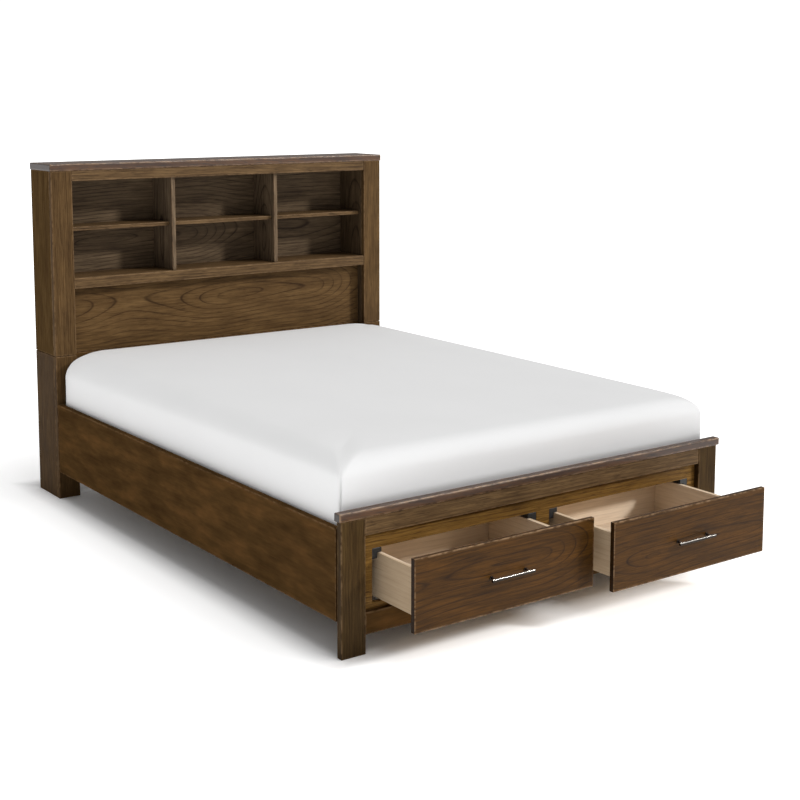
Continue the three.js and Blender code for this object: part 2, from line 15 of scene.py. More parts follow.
import bpy
import numpy as np
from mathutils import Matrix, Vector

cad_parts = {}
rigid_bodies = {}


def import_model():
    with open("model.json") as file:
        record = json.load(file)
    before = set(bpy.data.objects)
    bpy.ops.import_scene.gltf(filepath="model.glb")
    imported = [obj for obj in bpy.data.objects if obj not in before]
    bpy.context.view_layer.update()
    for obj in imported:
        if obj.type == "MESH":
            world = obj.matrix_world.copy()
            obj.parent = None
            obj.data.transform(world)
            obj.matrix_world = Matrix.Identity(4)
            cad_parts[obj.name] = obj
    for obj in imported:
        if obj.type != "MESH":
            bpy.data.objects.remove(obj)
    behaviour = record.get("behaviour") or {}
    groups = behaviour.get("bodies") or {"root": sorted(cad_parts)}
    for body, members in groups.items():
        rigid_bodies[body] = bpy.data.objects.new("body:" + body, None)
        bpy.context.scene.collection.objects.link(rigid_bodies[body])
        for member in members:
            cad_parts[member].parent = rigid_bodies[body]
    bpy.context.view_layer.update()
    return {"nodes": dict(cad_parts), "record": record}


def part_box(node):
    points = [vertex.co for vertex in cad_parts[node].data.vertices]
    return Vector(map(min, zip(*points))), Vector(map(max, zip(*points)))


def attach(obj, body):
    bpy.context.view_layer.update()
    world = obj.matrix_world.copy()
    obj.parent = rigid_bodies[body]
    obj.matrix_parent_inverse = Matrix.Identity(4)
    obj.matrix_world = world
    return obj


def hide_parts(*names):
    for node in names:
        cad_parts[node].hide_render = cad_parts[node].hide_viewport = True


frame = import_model()

MM = 0.001  # everything below is written in millimetres and multiplied by this
NODES = sorted(frame["nodes"])
print("pieces in the frame:", len(NODES))


def body_of_node(node):
    """The name of the body that holds a node."""
    bodies = frame["record"]["behaviour"]["bodies"]
    return next(body for body, nodes in bodies.items() if node in nodes)


def corners(node):
    """A node's lowest and highest corner, as two numpy rows in metres."""
    low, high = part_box(node)
    return np.array(low, float), np.array(high, float)


# %% [markdown]
# ## A small kit for materials
#
# A node material is a chain of small steps: find where we are on the board, make a pattern
# there, turn the pattern into a colour. It could be clicked together by hand, but then the
# recipe can't be read. One function adds one node with its settings and its links, and every
# finish below is a short list of such steps.

# %% Colour and node helpers
def linear(hex_code):
    """An sRGB hex colour as linear RGBA: each channel through the sRGB curve, which is a
    straight line near black and a power of 2.4 above it."""
    channels = [int(hex_code[i : i + 2], 16) / 255 for i in (1, 3, 5)]
    curve = [c / 12.92 if c <= 0.04045 else ((c + 0.055) / 1.055) ** 2.4 for c in channels]
    return (*curve, 1.0)


def add(tree, kind, settings=None, **inputs):
    """Adds one node. Settings are its properties. Inputs are socket names, with spaces as
    underscores, or i0, i1 ... for a place in the list; a value is set, a socket is linked."""
    node = tree.nodes.new(kind)
    for name, value in (settings or {}).items():
        setattr(node, name, value)
    for name, value in inputs.items():
        by_place = name[0] == "i" and name[1:].isdigit()
        socket = node.inputs[int(name[1:])] if by_place else node.inputs[name.replace("_", " ")]
        if isinstance(value, bpy.types.NodeSocket):
            tree.links.new(value, socket)
        else:
            socket.default_value = value
    return node


def math_node(tree, operation, *values):
    """One arithmetic step; returns its output socket."""
    inputs = {f"i{k}": value for k, value in enumerate(values)}
    return add(tree, "ShaderNodeMath", {"operation": operation}, **inputs).outputs[0]


def mix_colour(tree, factor, a, b, blend="MIX"):
    """Mixes two colours; returns the result's socket."""
    settings = {"data_type": "RGBA", "blend_type": blend}
    node = add(tree, "ShaderNodeMix", settings, i0=factor, i6=a, i7=b)
    return node.outputs[2]


def ramp(tree, factor, stops):
    """A colour ramp through the given (place, value) stops, where a value is a grey level or
    a linear colour; returns its colour socket."""
    node = add(tree, "ShaderNodeValToRGB", Fac=factor)
    elements = node.color_ramp.elements
    while len(elements) < len(stops):
        elements.new(0.5)
    for element, (place, value) in zip(elements, stops):
        element.position = place
        element.color = value if isinstance(value, tuple) else (value, value, value, 1.0)
    return node.outputs["Color"]


def new_material(name):
    """An empty node material with a Principled shader: the tree and that shader."""
    material = bpy.data.materials.new(name)
    material.use_nodes = True
    return material, material.node_tree, material.node_tree.nodes["Principled BSDF"]


def surface_of(tree, shader, colour, rough=None, height=None, strength=0.1, distance=0.2):
    """Links a finish's colour and roughness, and a height as relief, with distance in
    millimetres, into its shader."""
    tree.links.new(colour, shader.inputs["Base Color"])
    if rough is not None:
        tree.links.new(rough, shader.inputs["Roughness"])
    if height is not None:
        relief = add(tree, "ShaderNodeBump", Height=height, Strength=strength, Distance=distance * MM)
        tree.links.new(relief.outputs[0], shader.inputs["Normal"])


def attribute(tree, name, output="Fac"):
    """A mesh attribute, as a number or as its vector."""
    return add(tree, "ShaderNodeAttribute", {"attribute_name": name}).outputs[output]


def stretched(tree, vector, scale, offset=(0, 0, 0)):
    """Coordinates multiplied by a scale on each axis, then moved."""
    return add(tree, "ShaderNodeMapping", Vector=vector, Scale=scale, Location=offset).outputs[0]


def noise(tree, vector, detail=3.0, roughness=0.55):
    """A noise value of about one blob per unit of the coordinates."""
    inputs = {"Vector": vector, "Scale": 1.0, "Detail": detail, "Roughness": roughness}
    return add(tree, "ShaderNodeTexNoise", **inputs).outputs[0]


# %% [markdown]
# ## Stained open-pored wood
#
# The real boards are flat-sawn hardwood and veneer. Three things make the eye say wood. The
# growth rings are cones inside the trunk, and a flat cut through cones draws nested arches,
# called cathedrals. The pores are fine dark dashes along the grain, where stain has sunk in.
# And the stain itself is uneven, with reddish and golden clouds a hand wide.
#
# A wave texture could fake the stripes, but its arches never close. Here the board is a true
# slice through noisy cones: the distance from the pith line, divided by the ring spacing,
# counts the rings, and the part after the decimal point says where in one year's growth we
# are. Every board carries an attribute, grain, with its own coordinates: metres along the
# grain, across it and into it. So the pattern turns with the board, and no two match.

# %% Wood recipe
TREMBLE = 3.0  # millimetres
LINE_SOAK = 0.5  # share of a ring's line that the stain has turned nearly black
STAIN_SOAKED = "#1d1209"


def stained_wood(
    name, pale, middle, dark, *, ring=14.0, ring_depth=0.6, pith_depth=60.0, beside=0.0, wander=12.0,
    eye=0.0, thread=0.5, pore_depth=0.5, cloud=0.38, wear=0.45, roughness=0.5, specular=0.08, bump=0.3,
):
    """A stained wood. pale, middle and dark are hex colours. ring is the ring spacing; the pith
    runs pith_depth below the face and beside its middle. wander is how far rings drift sideways,
    and eye how far the pith rises and sinks along the board, which closes arches into eyes. All
    of these are in millimetres. wear is how pale an eased edge is made: partly rubbed wear, partly
    a painted highlight."""
    material, tree, shader = new_material(name)
    # The board's own coordinates: x along the grain, y across it, z into the board.
    grain = attribute(tree, "grain", "Vector")
    parts = add(tree, "ShaderNodeSeparateXYZ", Vector=grain).outputs

    # Rings drift sideways once in about 900 mm, and tremble by a millimetre every 50 mm.
    drift = noise(tree, stretched(tree, grain, (1.1, 0.9, 1.0)), detail=1.0)
    tremble = noise(tree, stretched(tree, grain, (20.0, 60.0, 30.0)), detail=3.0)
    swing = math_node(tree, "MULTIPLY_ADD", drift, 2 * wander * MM, (beside - wander) * MM)
    shiver = math_node(tree, "MULTIPLY_ADD", tremble, TREMBLE * MM, swing)
    across = math_node(tree, "ADD", parts[1], shiver)
    # The pith rises and sinks by its own slower noise.
    rise = noise(tree, stretched(tree, grain, (1.25, 0.5, 0.5), (7.3, 2.1, 5.7)), detail=1.0)
    deep = math_node(tree, "MULTIPLY_ADD", rise, 2 * eye * MM, (pith_depth - eye) * MM)
    below = math_node(tree, "ADD", parts[2], deep)
    squares = [math_node(tree, "MULTIPLY", way, way) for way in (across, below)]
    radius = math_node(tree, "SQRT", math_node(tree, "ADD", *squares))
    # Rings crowd together in dry years, so the count is taken of the radius plus a noise.
    dry = noise(tree, stretched(tree, grain, (0.7, 6.0, 5.0)), detail=1.0)
    years = math_node(tree, "DIVIDE", radius, ring * MM)
    year = math_node(tree, "FRACT", math_node(tree, "MULTIPLY_ADD", dry, 1.7, years))
    # Early wood is even, and late wood darkens to one thin hard line before the next year.
    late = ramp(tree, year, [(0.0, 0.4), (0.05, 0.05), (0.6, 0.0), (0.86, 0.22), (0.95, 1.0), (1.0, 0.6)])
    blobs = noise(tree, stretched(tree, grain, (5.0, 22.0, 9.0)))
    patchy = ramp(tree, blobs, [(0.34, 0.3), (0.6, 1.0)])
    rings = math_node(tree, "MULTIPLY", math_node(tree, "MULTIPLY", late, patchy), ring_depth)

    # Pores are a fifth of a millimetre wide, too fine to see, so they are drawn about 3 mm wide.
    pores = noise(tree, stretched(tree, grain, (16.0, 330.0, 150.0)), detail=2.0, roughness=0.7)
    pore = ramp(tree, pores, [(0.32, 1.0), (0.47, 0.0)])
    fibres = noise(tree, stretched(tree, grain, (4.5, 150.0, 60.0)), detail=4.0, roughness=0.68)
    fibre = ramp(tree, fibres, [(0.34, 0.0), (0.66, 1.0)])

    # Clouds of stain, about 180 mm long and 50 mm wide.
    clouds = noise(tree, stretched(tree, grain, (5.5, 19.0, 10.0)), detail=3.0, roughness=0.6)
    stain = math_node(tree, "MULTIPLY_ADD", clouds, cloud * 2, 0.5 - cloud)
    wood = ramp(tree, stain, [(0.2, linear(dark)), (0.5, linear(middle)), (0.82, linear(pale))])
    paler = mix_colour(tree, math_node(tree, "MULTIPLY", fibre, thread), wood, linear(pale))
    dimmer = math_node(tree, "MULTIPLY_ADD", fibre, -thread, thread)
    streaked = mix_colour(tree, dimmer, paler, linear(dark))
    ringed = mix_colour(tree, rings, streaked, linear(dark))
    lined = mix_colour(tree, math_node(tree, "MULTIPLY", rings, LINE_SOAK), ringed, linear(STAIN_SOAKED))
    soaked = math_node(tree, "MULTIPLY", pore, pore_depth)
    pored = mix_colour(tree, soaked, lined, linear(STAIN_SOAKED))

    # Each board is a little lighter or darker than the next, drawer insides carry painted light in
    # the same tone, and eased edges are paler: partly wear, partly a painted highlight.
    tone = attribute(tree, "tone")
    # A paler place is also made a greyer one. That is a guess at how this finish ages.
    level = math_node(tree, "ADD", tone, 1.0)
    green, blue = (math_node(tree, "MULTIPLY", level, math_node(tree, "MULTIPLY_ADD", tone, more, 1.0))
                   for more in (0.14, 0.4))
    grey = add(tree, "ShaderNodeCombineXYZ", X=level, Y=green, Z=blue).outputs[0]
    toned = mix_colour(tree, 1.0, pored, grey, "MULTIPLY")
    edge = attribute(tree, "edge")
    flecks = noise(tree, stretched(tree, grain, (45.0, 90.0, 90.0)), detail=4.0)
    chips = ramp(tree, flecks, [(0.4, 0.1), (0.58, 1.0)])
    # Paler eased edges: partly real wear with chips, partly a painted highlight along every edge.
    wear_and_highlight = math_node(tree, "MULTIPLY", math_node(tree, "MULTIPLY", edge, chips), wear)
    colour = mix_colour(tree, wear_and_highlight, toned, linear("#8d7154"))

    dips = math_node(tree, "MULTIPLY_ADD", pore, -0.6, math_node(tree, "MULTIPLY", rings, -0.4))
    patches = math_node(tree, "MULTIPLY_ADD", clouds, 0.16, roughness - 0.08)
    rough = math_node(tree, "MULTIPLY_ADD", pore, 0.12, patches)
    surface_of(tree, shader, colour, rough, dips, bump, 0.4)
    shader.inputs["IOR"].default_value = 1.5
    shader.inputs["Specular IOR Level"].default_value = specular
    return material


# %% [markdown]
# ## The bed's finishes
#
# One stain went over the whole bed, but each piece took it differently: solid posts show
# straight vertical grain, the veneered panels show cathedrals, the plywood side rails drank it
# evenly and went dark, and everything inside the drawers was left pale under clear sealer. The
# drawers' inner faces are made paler still: painted light for the light that reaches into them.

# %% Wood finishes
WOODS = {
    "post": stained_wood(
        "stained_post_hardwood", "#695032", "#4f3c25", "#332314",
        ring=8.0, ring_depth=0.6, pith_depth=50.0, beside=170.0, wander=14.0, roughness=0.6, specular=0.03,
    ),
    "foot_post": stained_wood(
        "stained_foot_post_hardwood", "#4d3b20", "#392916", "#251a0c",
        ring=9.0, ring_depth=0.55, pith_depth=60.0, beside=150.0, wander=14.0, cloud=0.45, specular=0.04,
    ),
    "rail": stained_wood(
        "stained_rail_hardwood", "#765d3e", "#58432b", "#382818",
        ring=12.0, ring_depth=0.55, pith_depth=45.0, beside=110.0, wander=30.0, pore_depth=0.65, cloud=0.48,
    ),
    "cap": stained_wood(
        "distressed_cap_hardwood", "#553618", "#3d220b", "#210f03",
        ring=8.0, ring_depth=0.5, pith_depth=40.0, beside=120.0, wander=16.0, pore_depth=0.8, cloud=0.5,
        wear=0.8, roughness=0.36, specular=0.5, bump=0.6,
    ),
    "panel": stained_wood(
        "cathedral_panel_veneer", "#715736", "#584126", "#342312",
        ring=19.0, ring_depth=0.85, pith_depth=75.0, wander=60.0, eye=150.0, cloud=0.4, thread=0.38,
        specular=0.05,
    ),
    "slab": stained_wood(
        "drawer_front_veneer", "#583812", "#3e2709", "#211203",
        ring=21.0, ring_depth=0.85, pith_depth=62.0, wander=60.0, eye=165.0, pore_depth=0.42, cloud=0.44,
        thread=0.36, wear=0.85, roughness=0.42, specular=0.09,
    ),
    "face": stained_wood(
        "golden_face_veneer", "#876533", "#6a4c1f", "#442d13",
        ring=13.0, ring_depth=0.75, pith_depth=70.0, wander=50.0, eye=130.0, pore_depth=0.55, cloud=0.48,
    ),
    "bay": stained_wood(
        "bookcase_back_veneer", "#79654e", "#594a37", "#35281f",
        ring=16.0, ring_depth=0.9, pith_depth=90.0, wander=70.0, eye=130.0, pore_depth=0.35, cloud=0.45,
        specular=0.05,
    ),
    "side": stained_wood(
        "stained_side_veneer", "#675134", "#503d23", "#352517",
        ring=10.0, ring_depth=0.5, pith_depth=60.0, beside=200.0, wander=12.0, pore_depth=0.4, cloud=0.45,
        roughness=0.6, specular=0.0,
    ),
    "smooth": stained_wood(
        "smooth_stained_plywood", "#684929", "#4a361e", "#312111",
        ring=60.0, ring_depth=0.14, pith_depth=300.0, wander=90.0, pore_depth=0.06, thread=0.14,
        cloud=0.48, roughness=0.6, specular=0.0, bump=0.06,
    ),
    "pale": stained_wood(
        "sealed_pale_poplar", "#c2ad90", "#b29c81", "#9a8265",
        ring=16.0, ring_depth=0.2, pith_depth=40.0, beside=120.0, wander=24.0, pore_depth=0.04,
        cloud=0.2, thread=0.25, wear=0.2, roughness=0.55, bump=0.06,
    ),
}
print("wood finishes:", len(WOODS))

# %% [markdown]
# ## Metal, nylon, webbing and ticking
#
# The remaining finishes are few. The pulls are die-cast zinc plated dark bronze, brushed along
# their length. The tracks are zinc-plated steel, whose plating dries in faint cloudy patches.
# The corner guides are moulded nylon with a fine spark-eroded skin. The mattress wears a
# knitted stretch ticking: its loops are under a millimetre, so only a soft nap is left to see.

# %% Other finishes
def object_place(tree):
    """Object coordinates, in metres."""
    return add(tree, "ShaderNodeTexCoord").outputs["Object"]


def plated_bronze():
    """Dark bronze plating on cast zinc, brushed along the bar. An attribute, from 0 to 1, paints
    the bar's upper face pale: a painted highlight."""
    material, tree, shader = new_material("dark_bronze_plating")
    place = object_place(tree)
    lines = noise(tree, stretched(tree, place, (12.0, 900.0, 900.0)), detail=3.0)
    warm = noise(tree, stretched(tree, place, (40.0, 40.0, 40.0)), detail=2.0)
    plated = mix_colour(tree, warm, linear("#231f1c"), linear("#3a332d"))
    brushed = math_node(tree, "MULTIPLY_ADD", lines, 0.3, 0.8)
    # Painted highlight: the bar's upper face is mixed towards pale metal, brushed lines and all.
    rubbed = math_node(tree, "MULTIPLY", attribute(tree, "painted_highlight"), brushed)
    colour = mix_colour(tree, rubbed, plated, linear("#c9c4bd"))
    rough = math_node(tree, "MULTIPLY_ADD", lines, 0.12, 0.2)
    surface_of(tree, shader, colour, rough, lines, 0.08, 0.05)
    shader.inputs["Metallic"].default_value = 1.0
    return material


def zinc_plate(name, clean, dull):
    """Zinc-plated steel: cloudy patches a few centimetres wide and rolling lines along Y."""
    material, tree, shader = new_material(name)
    place = object_place(tree)
    patches = noise(tree, stretched(tree, place, (30.0, 18.0, 30.0)), detail=3.0)
    lines = noise(tree, stretched(tree, place, (700.0, 9.0, 700.0)), detail=2.0)
    colour = mix_colour(tree, patches, linear(dull), linear(clean))
    surface_of(tree, shader, colour, math_node(tree, "MULTIPLY_ADD", lines, 0.18, 0.26))
    shader.inputs["Metallic"].default_value = 1.0
    return material


def moulded_nylon():
    """Black nylon from a spark-eroded mould: an even 0.8 mm grain that kills the shine."""
    material, tree, shader = new_material("moulded_black_nylon")
    place = object_place(tree)
    grit = noise(tree, stretched(tree, place, (900.0, 900.0, 900.0)), detail=2.0)
    rubbed = noise(tree, stretched(tree, place, (60.0, 25.0, 60.0)), detail=2.0)
    colour = mix_colour(tree, rubbed, linear("#0a0a0a"), linear("#161615"))
    surface_of(tree, shader, colour, math_node(tree, "MULTIPLY_ADD", grit, 0.2, 0.4), grit, 0.2, 0.2)
    shader.inputs["IOR"].default_value = 1.53
    return material


def woven_webbing():
    """Polypropylene webbing: a wave along the strap for the picks of a 3 mm weave."""
    material, tree, shader = new_material("woven_webbing")
    place = object_place(tree)
    picks = add(
        tree, "ShaderNodeTexWave", {"wave_type": "BANDS", "bands_direction": "Y"},
        Vector=place, Scale=100.0, Distortion=1.0,
    ).outputs["Fac"]
    colour = mix_colour(tree, picks, linear("#8f8c86"), linear("#c9c6be"))
    surface_of(tree, shader, colour, height=picks, strength=0.3, distance=0.3)
    shader.inputs["Roughness"].default_value = 0.8
    return material


def knitted_ticking():
    """White stretch-knit ticking. Stitches of 0.9 mm are drawn 2 mm wide, and a slower wave
    shows where the knit is pulled over the foam."""
    material, tree, shader = new_material("knitted_ticking")
    place = object_place(tree)
    loops = noise(tree, stretched(tree, place, (500.0, 500.0, 500.0)), detail=2.0)
    pulled = noise(tree, stretched(tree, place, (2.6, 1.8, 3.2)), detail=3.0)
    shade = math_node(tree, "MULTIPLY_ADD", pulled, 0.5, math_node(tree, "MULTIPLY", loops, 0.3))
    colour = ramp(tree, shade, [(0.15, linear("#efefef")), (0.75, linear("#f6f6f6"))])
    # Painted shade: the cover is greyed along the sewn corner grooves.
    seam_shade = math_node(tree, "MULTIPLY", attribute(tree, "seam_shade"), 0.5)
    seam_shaded = mix_colour(tree, seam_shade, colour, linear("#a9a9a8"))
    height = math_node(tree, "MULTIPLY_ADD", pulled, 2.0, loops)
    surface_of(tree, shader, seam_shaded, height=height, strength=0.12, distance=0.8)
    shader.inputs["Roughness"].default_value = 0.92
    shader.inputs["Specular IOR Level"].default_value = 0.2
    shader.inputs["Sheen Weight"].default_value = 0.08
    shader.inputs["Sheen Roughness"].default_value = 0.6
    return material


BRONZE = plated_bronze()
ZINC = zinc_plate("zinc_plated_steel", "#b9babb", "#8d8e90")
SCREW = zinc_plate("blackened_screw_steel", "#4a4846", "#2c2a29")
NYLON = moulded_nylon()
WEBBING = woven_webbing()
TICKING = knitted_ticking()


# %% [markdown]
# ## Boards with eased edges
#
# A sharp box gives itself away: no real board has a perfectly sharp edge, and the thin line of
# light along a sanded edge is what makes furniture read as solid. A Bevel modifier would do,
# but it can't tell the material where the edges are. Worked out as a surface, the board knows.
#
# Take the box shrunk by the sanding radius. Each point of the outer box's grid looks for its
# nearest point on that core and settles one radius away from it. Faces stay flat, edges become
# quarter rounds and corners become spherical, with no seams between them.

# %% Board surface
EDGE_ZONE = 5.0 * MM  # how far the paler edge, part wear and part painted highlight, reaches in from an eased edge
WEAR_STEP = 45.0 * MM  # spacing of the points that let a worn edge wander
TAPER = 0.055  # a cone's slope: the pith sinks 55 mm below the face in each metre


def grid_lines(low, high, radius, arcs, wear):
    """Places of the grid lines along one axis, and how near each is to an edge, from 0 to 1.
    Within the radius they stand at the tangents of even angles, so the round is even too."""
    angles = np.linspace(math.pi / 4, 0.0, arcs + 1)
    near = radius * (1.0 - np.tan(angles))
    wear_and_highlight = 1.0 - 0.4 * np.linspace(0.0, 1.0, arcs + 1)
    zone = min(EDGE_ZONE, 0.3 * (high - low - 2 * radius))
    near, wear_and_highlight = np.append(near, radius + zone), np.append(wear_and_highlight, 0.0)
    inner = np.array([])
    gap = high - low - 2 * near[-1]
    if wear and gap > 2 * WEAR_STEP:
        inner = np.linspace(0, gap, int(gap / WEAR_STEP) + 1)[1:-1] + near[-1]
    places = np.concatenate([low + near, low + inner, high - near[::-1]])
    return places, np.concatenate([wear_and_highlight, np.zeros(len(inner)), wear_and_highlight[::-1]])


def board_surface(low, high, radius, arcs=2, wear=0.0):
    """A board with rounded edges: points, quads and nearness to an edge.
    Point = core + radius * direction from core to the outer grid, where core is the outer
    point clamped to the box shrunk by the radius. Wear pulls edge points in by a slow wave."""
    low, high = np.asarray(low, float), np.asarray(high, float)
    radius = min(radius, 0.45 * (high - low).min())
    lines = [grid_lines(low[a], high[a], radius, arcs, wear) for a in range(3)]
    all_points, all_quads, all_edges, count = [], [], [], 0
    for axis in range(3):
        u, v = (axis + 1) % 3, (axis + 2) % 3
        (pu, eu), (pv, ev) = lines[u], lines[v]
        grid_u, grid_v = np.meshgrid(pu, pv, indexing="ij")
        edge = np.maximum(*np.meshgrid(eu, ev, indexing="ij"))
        index = np.arange(grid_u.size).reshape(grid_u.shape)
        a, b, c, d = index[:-1, :-1], index[1:, :-1], index[1:, 1:], index[:-1, 1:]
        ring = np.stack([a, b, c, d], axis=-1).reshape(-1, 4)
        for place, turn in ((low[axis], -1), (high[axis], 1)):
            outer = np.empty((grid_u.size, 3))
            outer[:, axis], outer[:, u], outer[:, v] = place, grid_u.ravel(), grid_v.ravel()
            core = np.clip(outer, low + radius, high - radius)
            way = outer - core
            all_points.append(core + radius * way / np.linalg.norm(way, axis=1, keepdims=True))
            all_quads.append((ring if turn > 0 else ring[:, ::-1]) + count)
            all_edges.append(edge.ravel())
            count += grid_u.size
    points, quads = np.concatenate(all_points), np.concatenate(all_quads)
    edges = np.concatenate(all_edges)
    if wear:
        middle, half = (low + high) / 2, (high - low) / 2
        run = points @ np.array([1.0, 1.31, 0.77])
        wave = 0.5 + 0.5 * np.sin(run * 31) * np.sin(run * 83 + 1.3)
        inward = -(points - middle) / half
        small = np.sort(half)[1] * 1.01  # an edge is pulled across the board, not along it
        inward *= (half <= small)
        points = points + wear * (wave * np.clip(edges - 0.6, 0, 1) / 0.4)[:, None] * inward
    return points, quads, edges


def grain_of(points, low, high, along, name):
    """The grain attribute: metres along the board, across its wider side and into it.
    The log tapers, so the pith sinks below the face by TAPER for each metre along, and each
    board starts at a place along its log and beside its pith that is drawn for it alone."""
    draw = np.random.default_rng(zlib.crc32(name.encode()))
    others = [axis for axis in range(3) if axis != along]
    across, into = sorted(others, key=lambda axis: low[axis] - high[axis])
    centred = points - (low + high) / 2
    start, beside = draw.uniform(0.0, 9.0), draw.uniform(-0.18, 0.18) * (high - low)[across]
    depth = centred[:, into] + TAPER * centred[:, along]
    return np.stack([centred[:, along] + start, centred[:, across] + beside, depth], axis=1)


def merged(points):
    """Points that share a place to a thousandth of a millimetre, counted once: their keys,
    where each first stands, and which of them each point is."""
    keys = np.round(points / (0.001 * MM)).astype(np.int64)
    keys, first, same = np.unique(keys, axis=0, return_index=True, return_inverse=True)
    return keys, first, same.ravel()


def mesh_object(name, points, faces, attributes, material, smooth=True):
    """Puts points, faces and per-point attributes into a mesh object at the origin."""
    _, first, same = merged(points)
    mesh = bpy.data.meshes.new(name)
    mesh.from_pydata(points[first], [], [[int(same[k]) for k in face] for face in faces])
    for label, values in attributes.items():
        values = np.asarray(values, np.float32)[first]
        kind = "FLOAT_VECTOR" if values.ndim == 2 else "FLOAT"
        layer = mesh.attributes.new(label, kind, "POINT")
        layer.data.foreach_set("vector" if values.ndim == 2 else "value", values.ravel())
    mesh.materials.append(material)
    if smooth:
        mesh.shade_smooth()
    mesh.update()
    made = bpy.data.objects.new(name, mesh)
    bpy.context.scene.collection.objects.link(made)
    return made


# %% [markdown]
# ## Cutting the boards
#
# Most of the bed is plain boards, so one table says for each what wood it is, which way its
# grain runs and how light it is. The places come from the frame: a board fills its node's box,
# so it can't drift from the design. Rails and panels run lengthwise across the bed, and posts
# and uprights stand on end grain, as a joiner would lay them out for strength.

# %% Boards that fill their node's box
X, Y, Z = 0, 1, 2
HANDS = ("left", "right")
EASE = 1.6 * MM  # edges sanded by hand
CAP_EASE = 2.6 * MM  # caps are leaned on and sat on, so they are rounder and worn
CAP_WEAR = 1.1 * MM
BOX_EASE = 0.8 * MM  # drawer boxes only lose their splinters
END_SOAK = 0.62  # how much darker stained end grain is
INSIDE_PAINTED_LIGHT = 0.62  # painted light: how much paler the drawers' inner faces are made, standing in for light reaching into the boxes; judged from the look, not a known finish


def finished(piece, node, stands_for_it=True):
    """Moves a new piece with a node's body and, when it stands for the node, hides the node."""
    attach(piece, body_of_node(node))
    if stands_for_it:
        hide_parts(node)
    return piece


def end_grain(points, low, high, along):
    """1 on a board's two ends and 0 elsewhere. Cut fibres drink stain, so the ends go dark."""
    from_middle = np.abs(points[:, along] - (low[along] + high[along]) / 2)
    return (from_middle > (high[along] - low[along]) / 2 - 0.5 * MM).astype(float)


# Across and along the box: 1 where a board of a drawer box runs past the box's inside.
FREE_WAYS = {
    "side_left": (0, 1), "side_right": (0, 1), "inner_front": (1, 0), "back": (1, 0), "base": (1, 1),
}
RUNS_PAST = 20 * MM


def painted_light_inside(points, node):
    """1 on the faces that a drawer's contents touch and 0 elsewhere, where those faces are painted
    lighter to stand in for light reaching into the box: points on the box's inner planes, where a
    board may run past them in the way that it is free to."""
    hand, _, part = node.removesuffix("_board").removeprefix("drawer_").partition("_")
    if hand not in HANDS or part not in FREE_WAYS:
        return np.zeros(len(points))
    inner = {name: corners(f"drawer_{hand}_{name}") for name in FREE_WAYS}
    low = np.array([inner["side_left"][1][X], inner["inner_front"][1][Y], inner["base"][1][Z]])
    high = np.array([inner["side_right"][0][X], inner["back"][0][Y], 9.0])
    slack = np.array([*FREE_WAYS[part], 0]) * RUNS_PAST + 0.1 * MM
    return np.all((points > low - slack) & (points < high + slack), axis=1).astype(float)


def cut_board(name, low, high, along, wood, ease=EASE, tone=0.0, wear=0.0, arcs=2):
    """Makes one eased board between two corners, with its grain, tone and edge attributes."""
    low, high = np.asarray(low, float), np.asarray(high, float)
    points, quads, edges = board_surface(low, high, ease, arcs, wear)
    ends = end_grain(points, low, high, along) * (wood != "pale")
    attributes = {
        "grain": grain_of(points, low, high, along, name),
        # Inner faces of the drawer boxes get a lighter tone: painted light, not a different finish.
        "tone": tone - END_SOAK * ends + INSIDE_PAINTED_LIGHT * painted_light_inside(points, name),
        "edge": edges * (1 - ends),
    }
    return mesh_object(name, points, quads, attributes, WOODS[wood])


# node, with * for each hand: wood, grain direction, one tone for each hand
PLAIN_BOARDS = {
    "headboard_stile_*": ("post", Z, 0.02, 0.1),
    "headboard_side_*": ("side", Z, 0.0, 0.0),
    "headboard_wall_*": ("bay", Z, -0.1, -0.2),
    "headboard_header_rail": ("rail", X, 0.02),
    "headboard_lower_rail": ("rail", X, 0.0),
    "headboard_bottom_shelf": ("rail", X, -0.1),
    "headboard_lower_panel": ("panel", X, 0.06),
    "headboard_shelf_*": ("rail", X, 0.05, 0.1, 0.0),
    "headboard_divider_*": ("bay", Z, 0.3, 0.2),
    "headboard_back_panel": ("bay", X, 0.05),
    "headboard_leg_brace": ("smooth", X, 0.0),
    "footboard_post_*": ("foot_post", Z, 0.15, 0.05),
    "footboard_header_rail": ("rail", X, 0.0),
    "footboard_bottom_rail": ("smooth", X, -0.1),
    "side_rail_*": ("smooth", Y, 0.0, 0.0),
    "slat_ledger_*": ("pale", Y, -0.1, -0.05),
    "center_beam": ("pale", Y, -0.12),
    "center_leg_middle": ("pale", Z, -0.1),
    "center_leg_head": ("pale", Z, -0.06),
    "drawer_partition": ("pale", Y, -0.1),
    "drawer_rear_rail": ("pale", X, -0.08),
    "drawer_*_front": ("slab", X, 0.0, 0.04),
    "drawer_*_back": ("pale", X, 0.0, 0.0),
    "drawer_*_base": ("pale", X, 0.03, 0.03),
    "*board_cap": ("cap", X, 0.12, -0.02),
}
WHERE = {"*board_cap": ("head", "foot"), "headboard_shelf_*": ("left", "middle", "right")}
SANDING = {"pale": (BOX_EASE, 0.0, 2), "cap": (CAP_EASE, CAP_WEAR, 3)}  # radius, wear, arcs
boards = 0
for pattern, (wood, along, *tones) in PLAIN_BOARDS.items():
    ease, wear, arcs = SANDING.get(wood, (EASE, 0.0, 2))
    for place, tone in zip(WHERE.get(pattern, HANDS), tones):
        node = pattern.replace("*", place)
        board = cut_board(node + "_board", *corners(node), along, wood, ease, tone, wear, arcs)
        finished(board, node)
        boards += 1
print("plain boards:", boards)

# %% [markdown]
# ## Glued-up pieces
#
# Some pieces are several boards glued together: each headboard leg is a hollow post of four
# boards, and the slats are fourteen boards on straps. Making them from the same eased boards
# leaves a real V-groove at each joint, where a single block would have to fake a line.

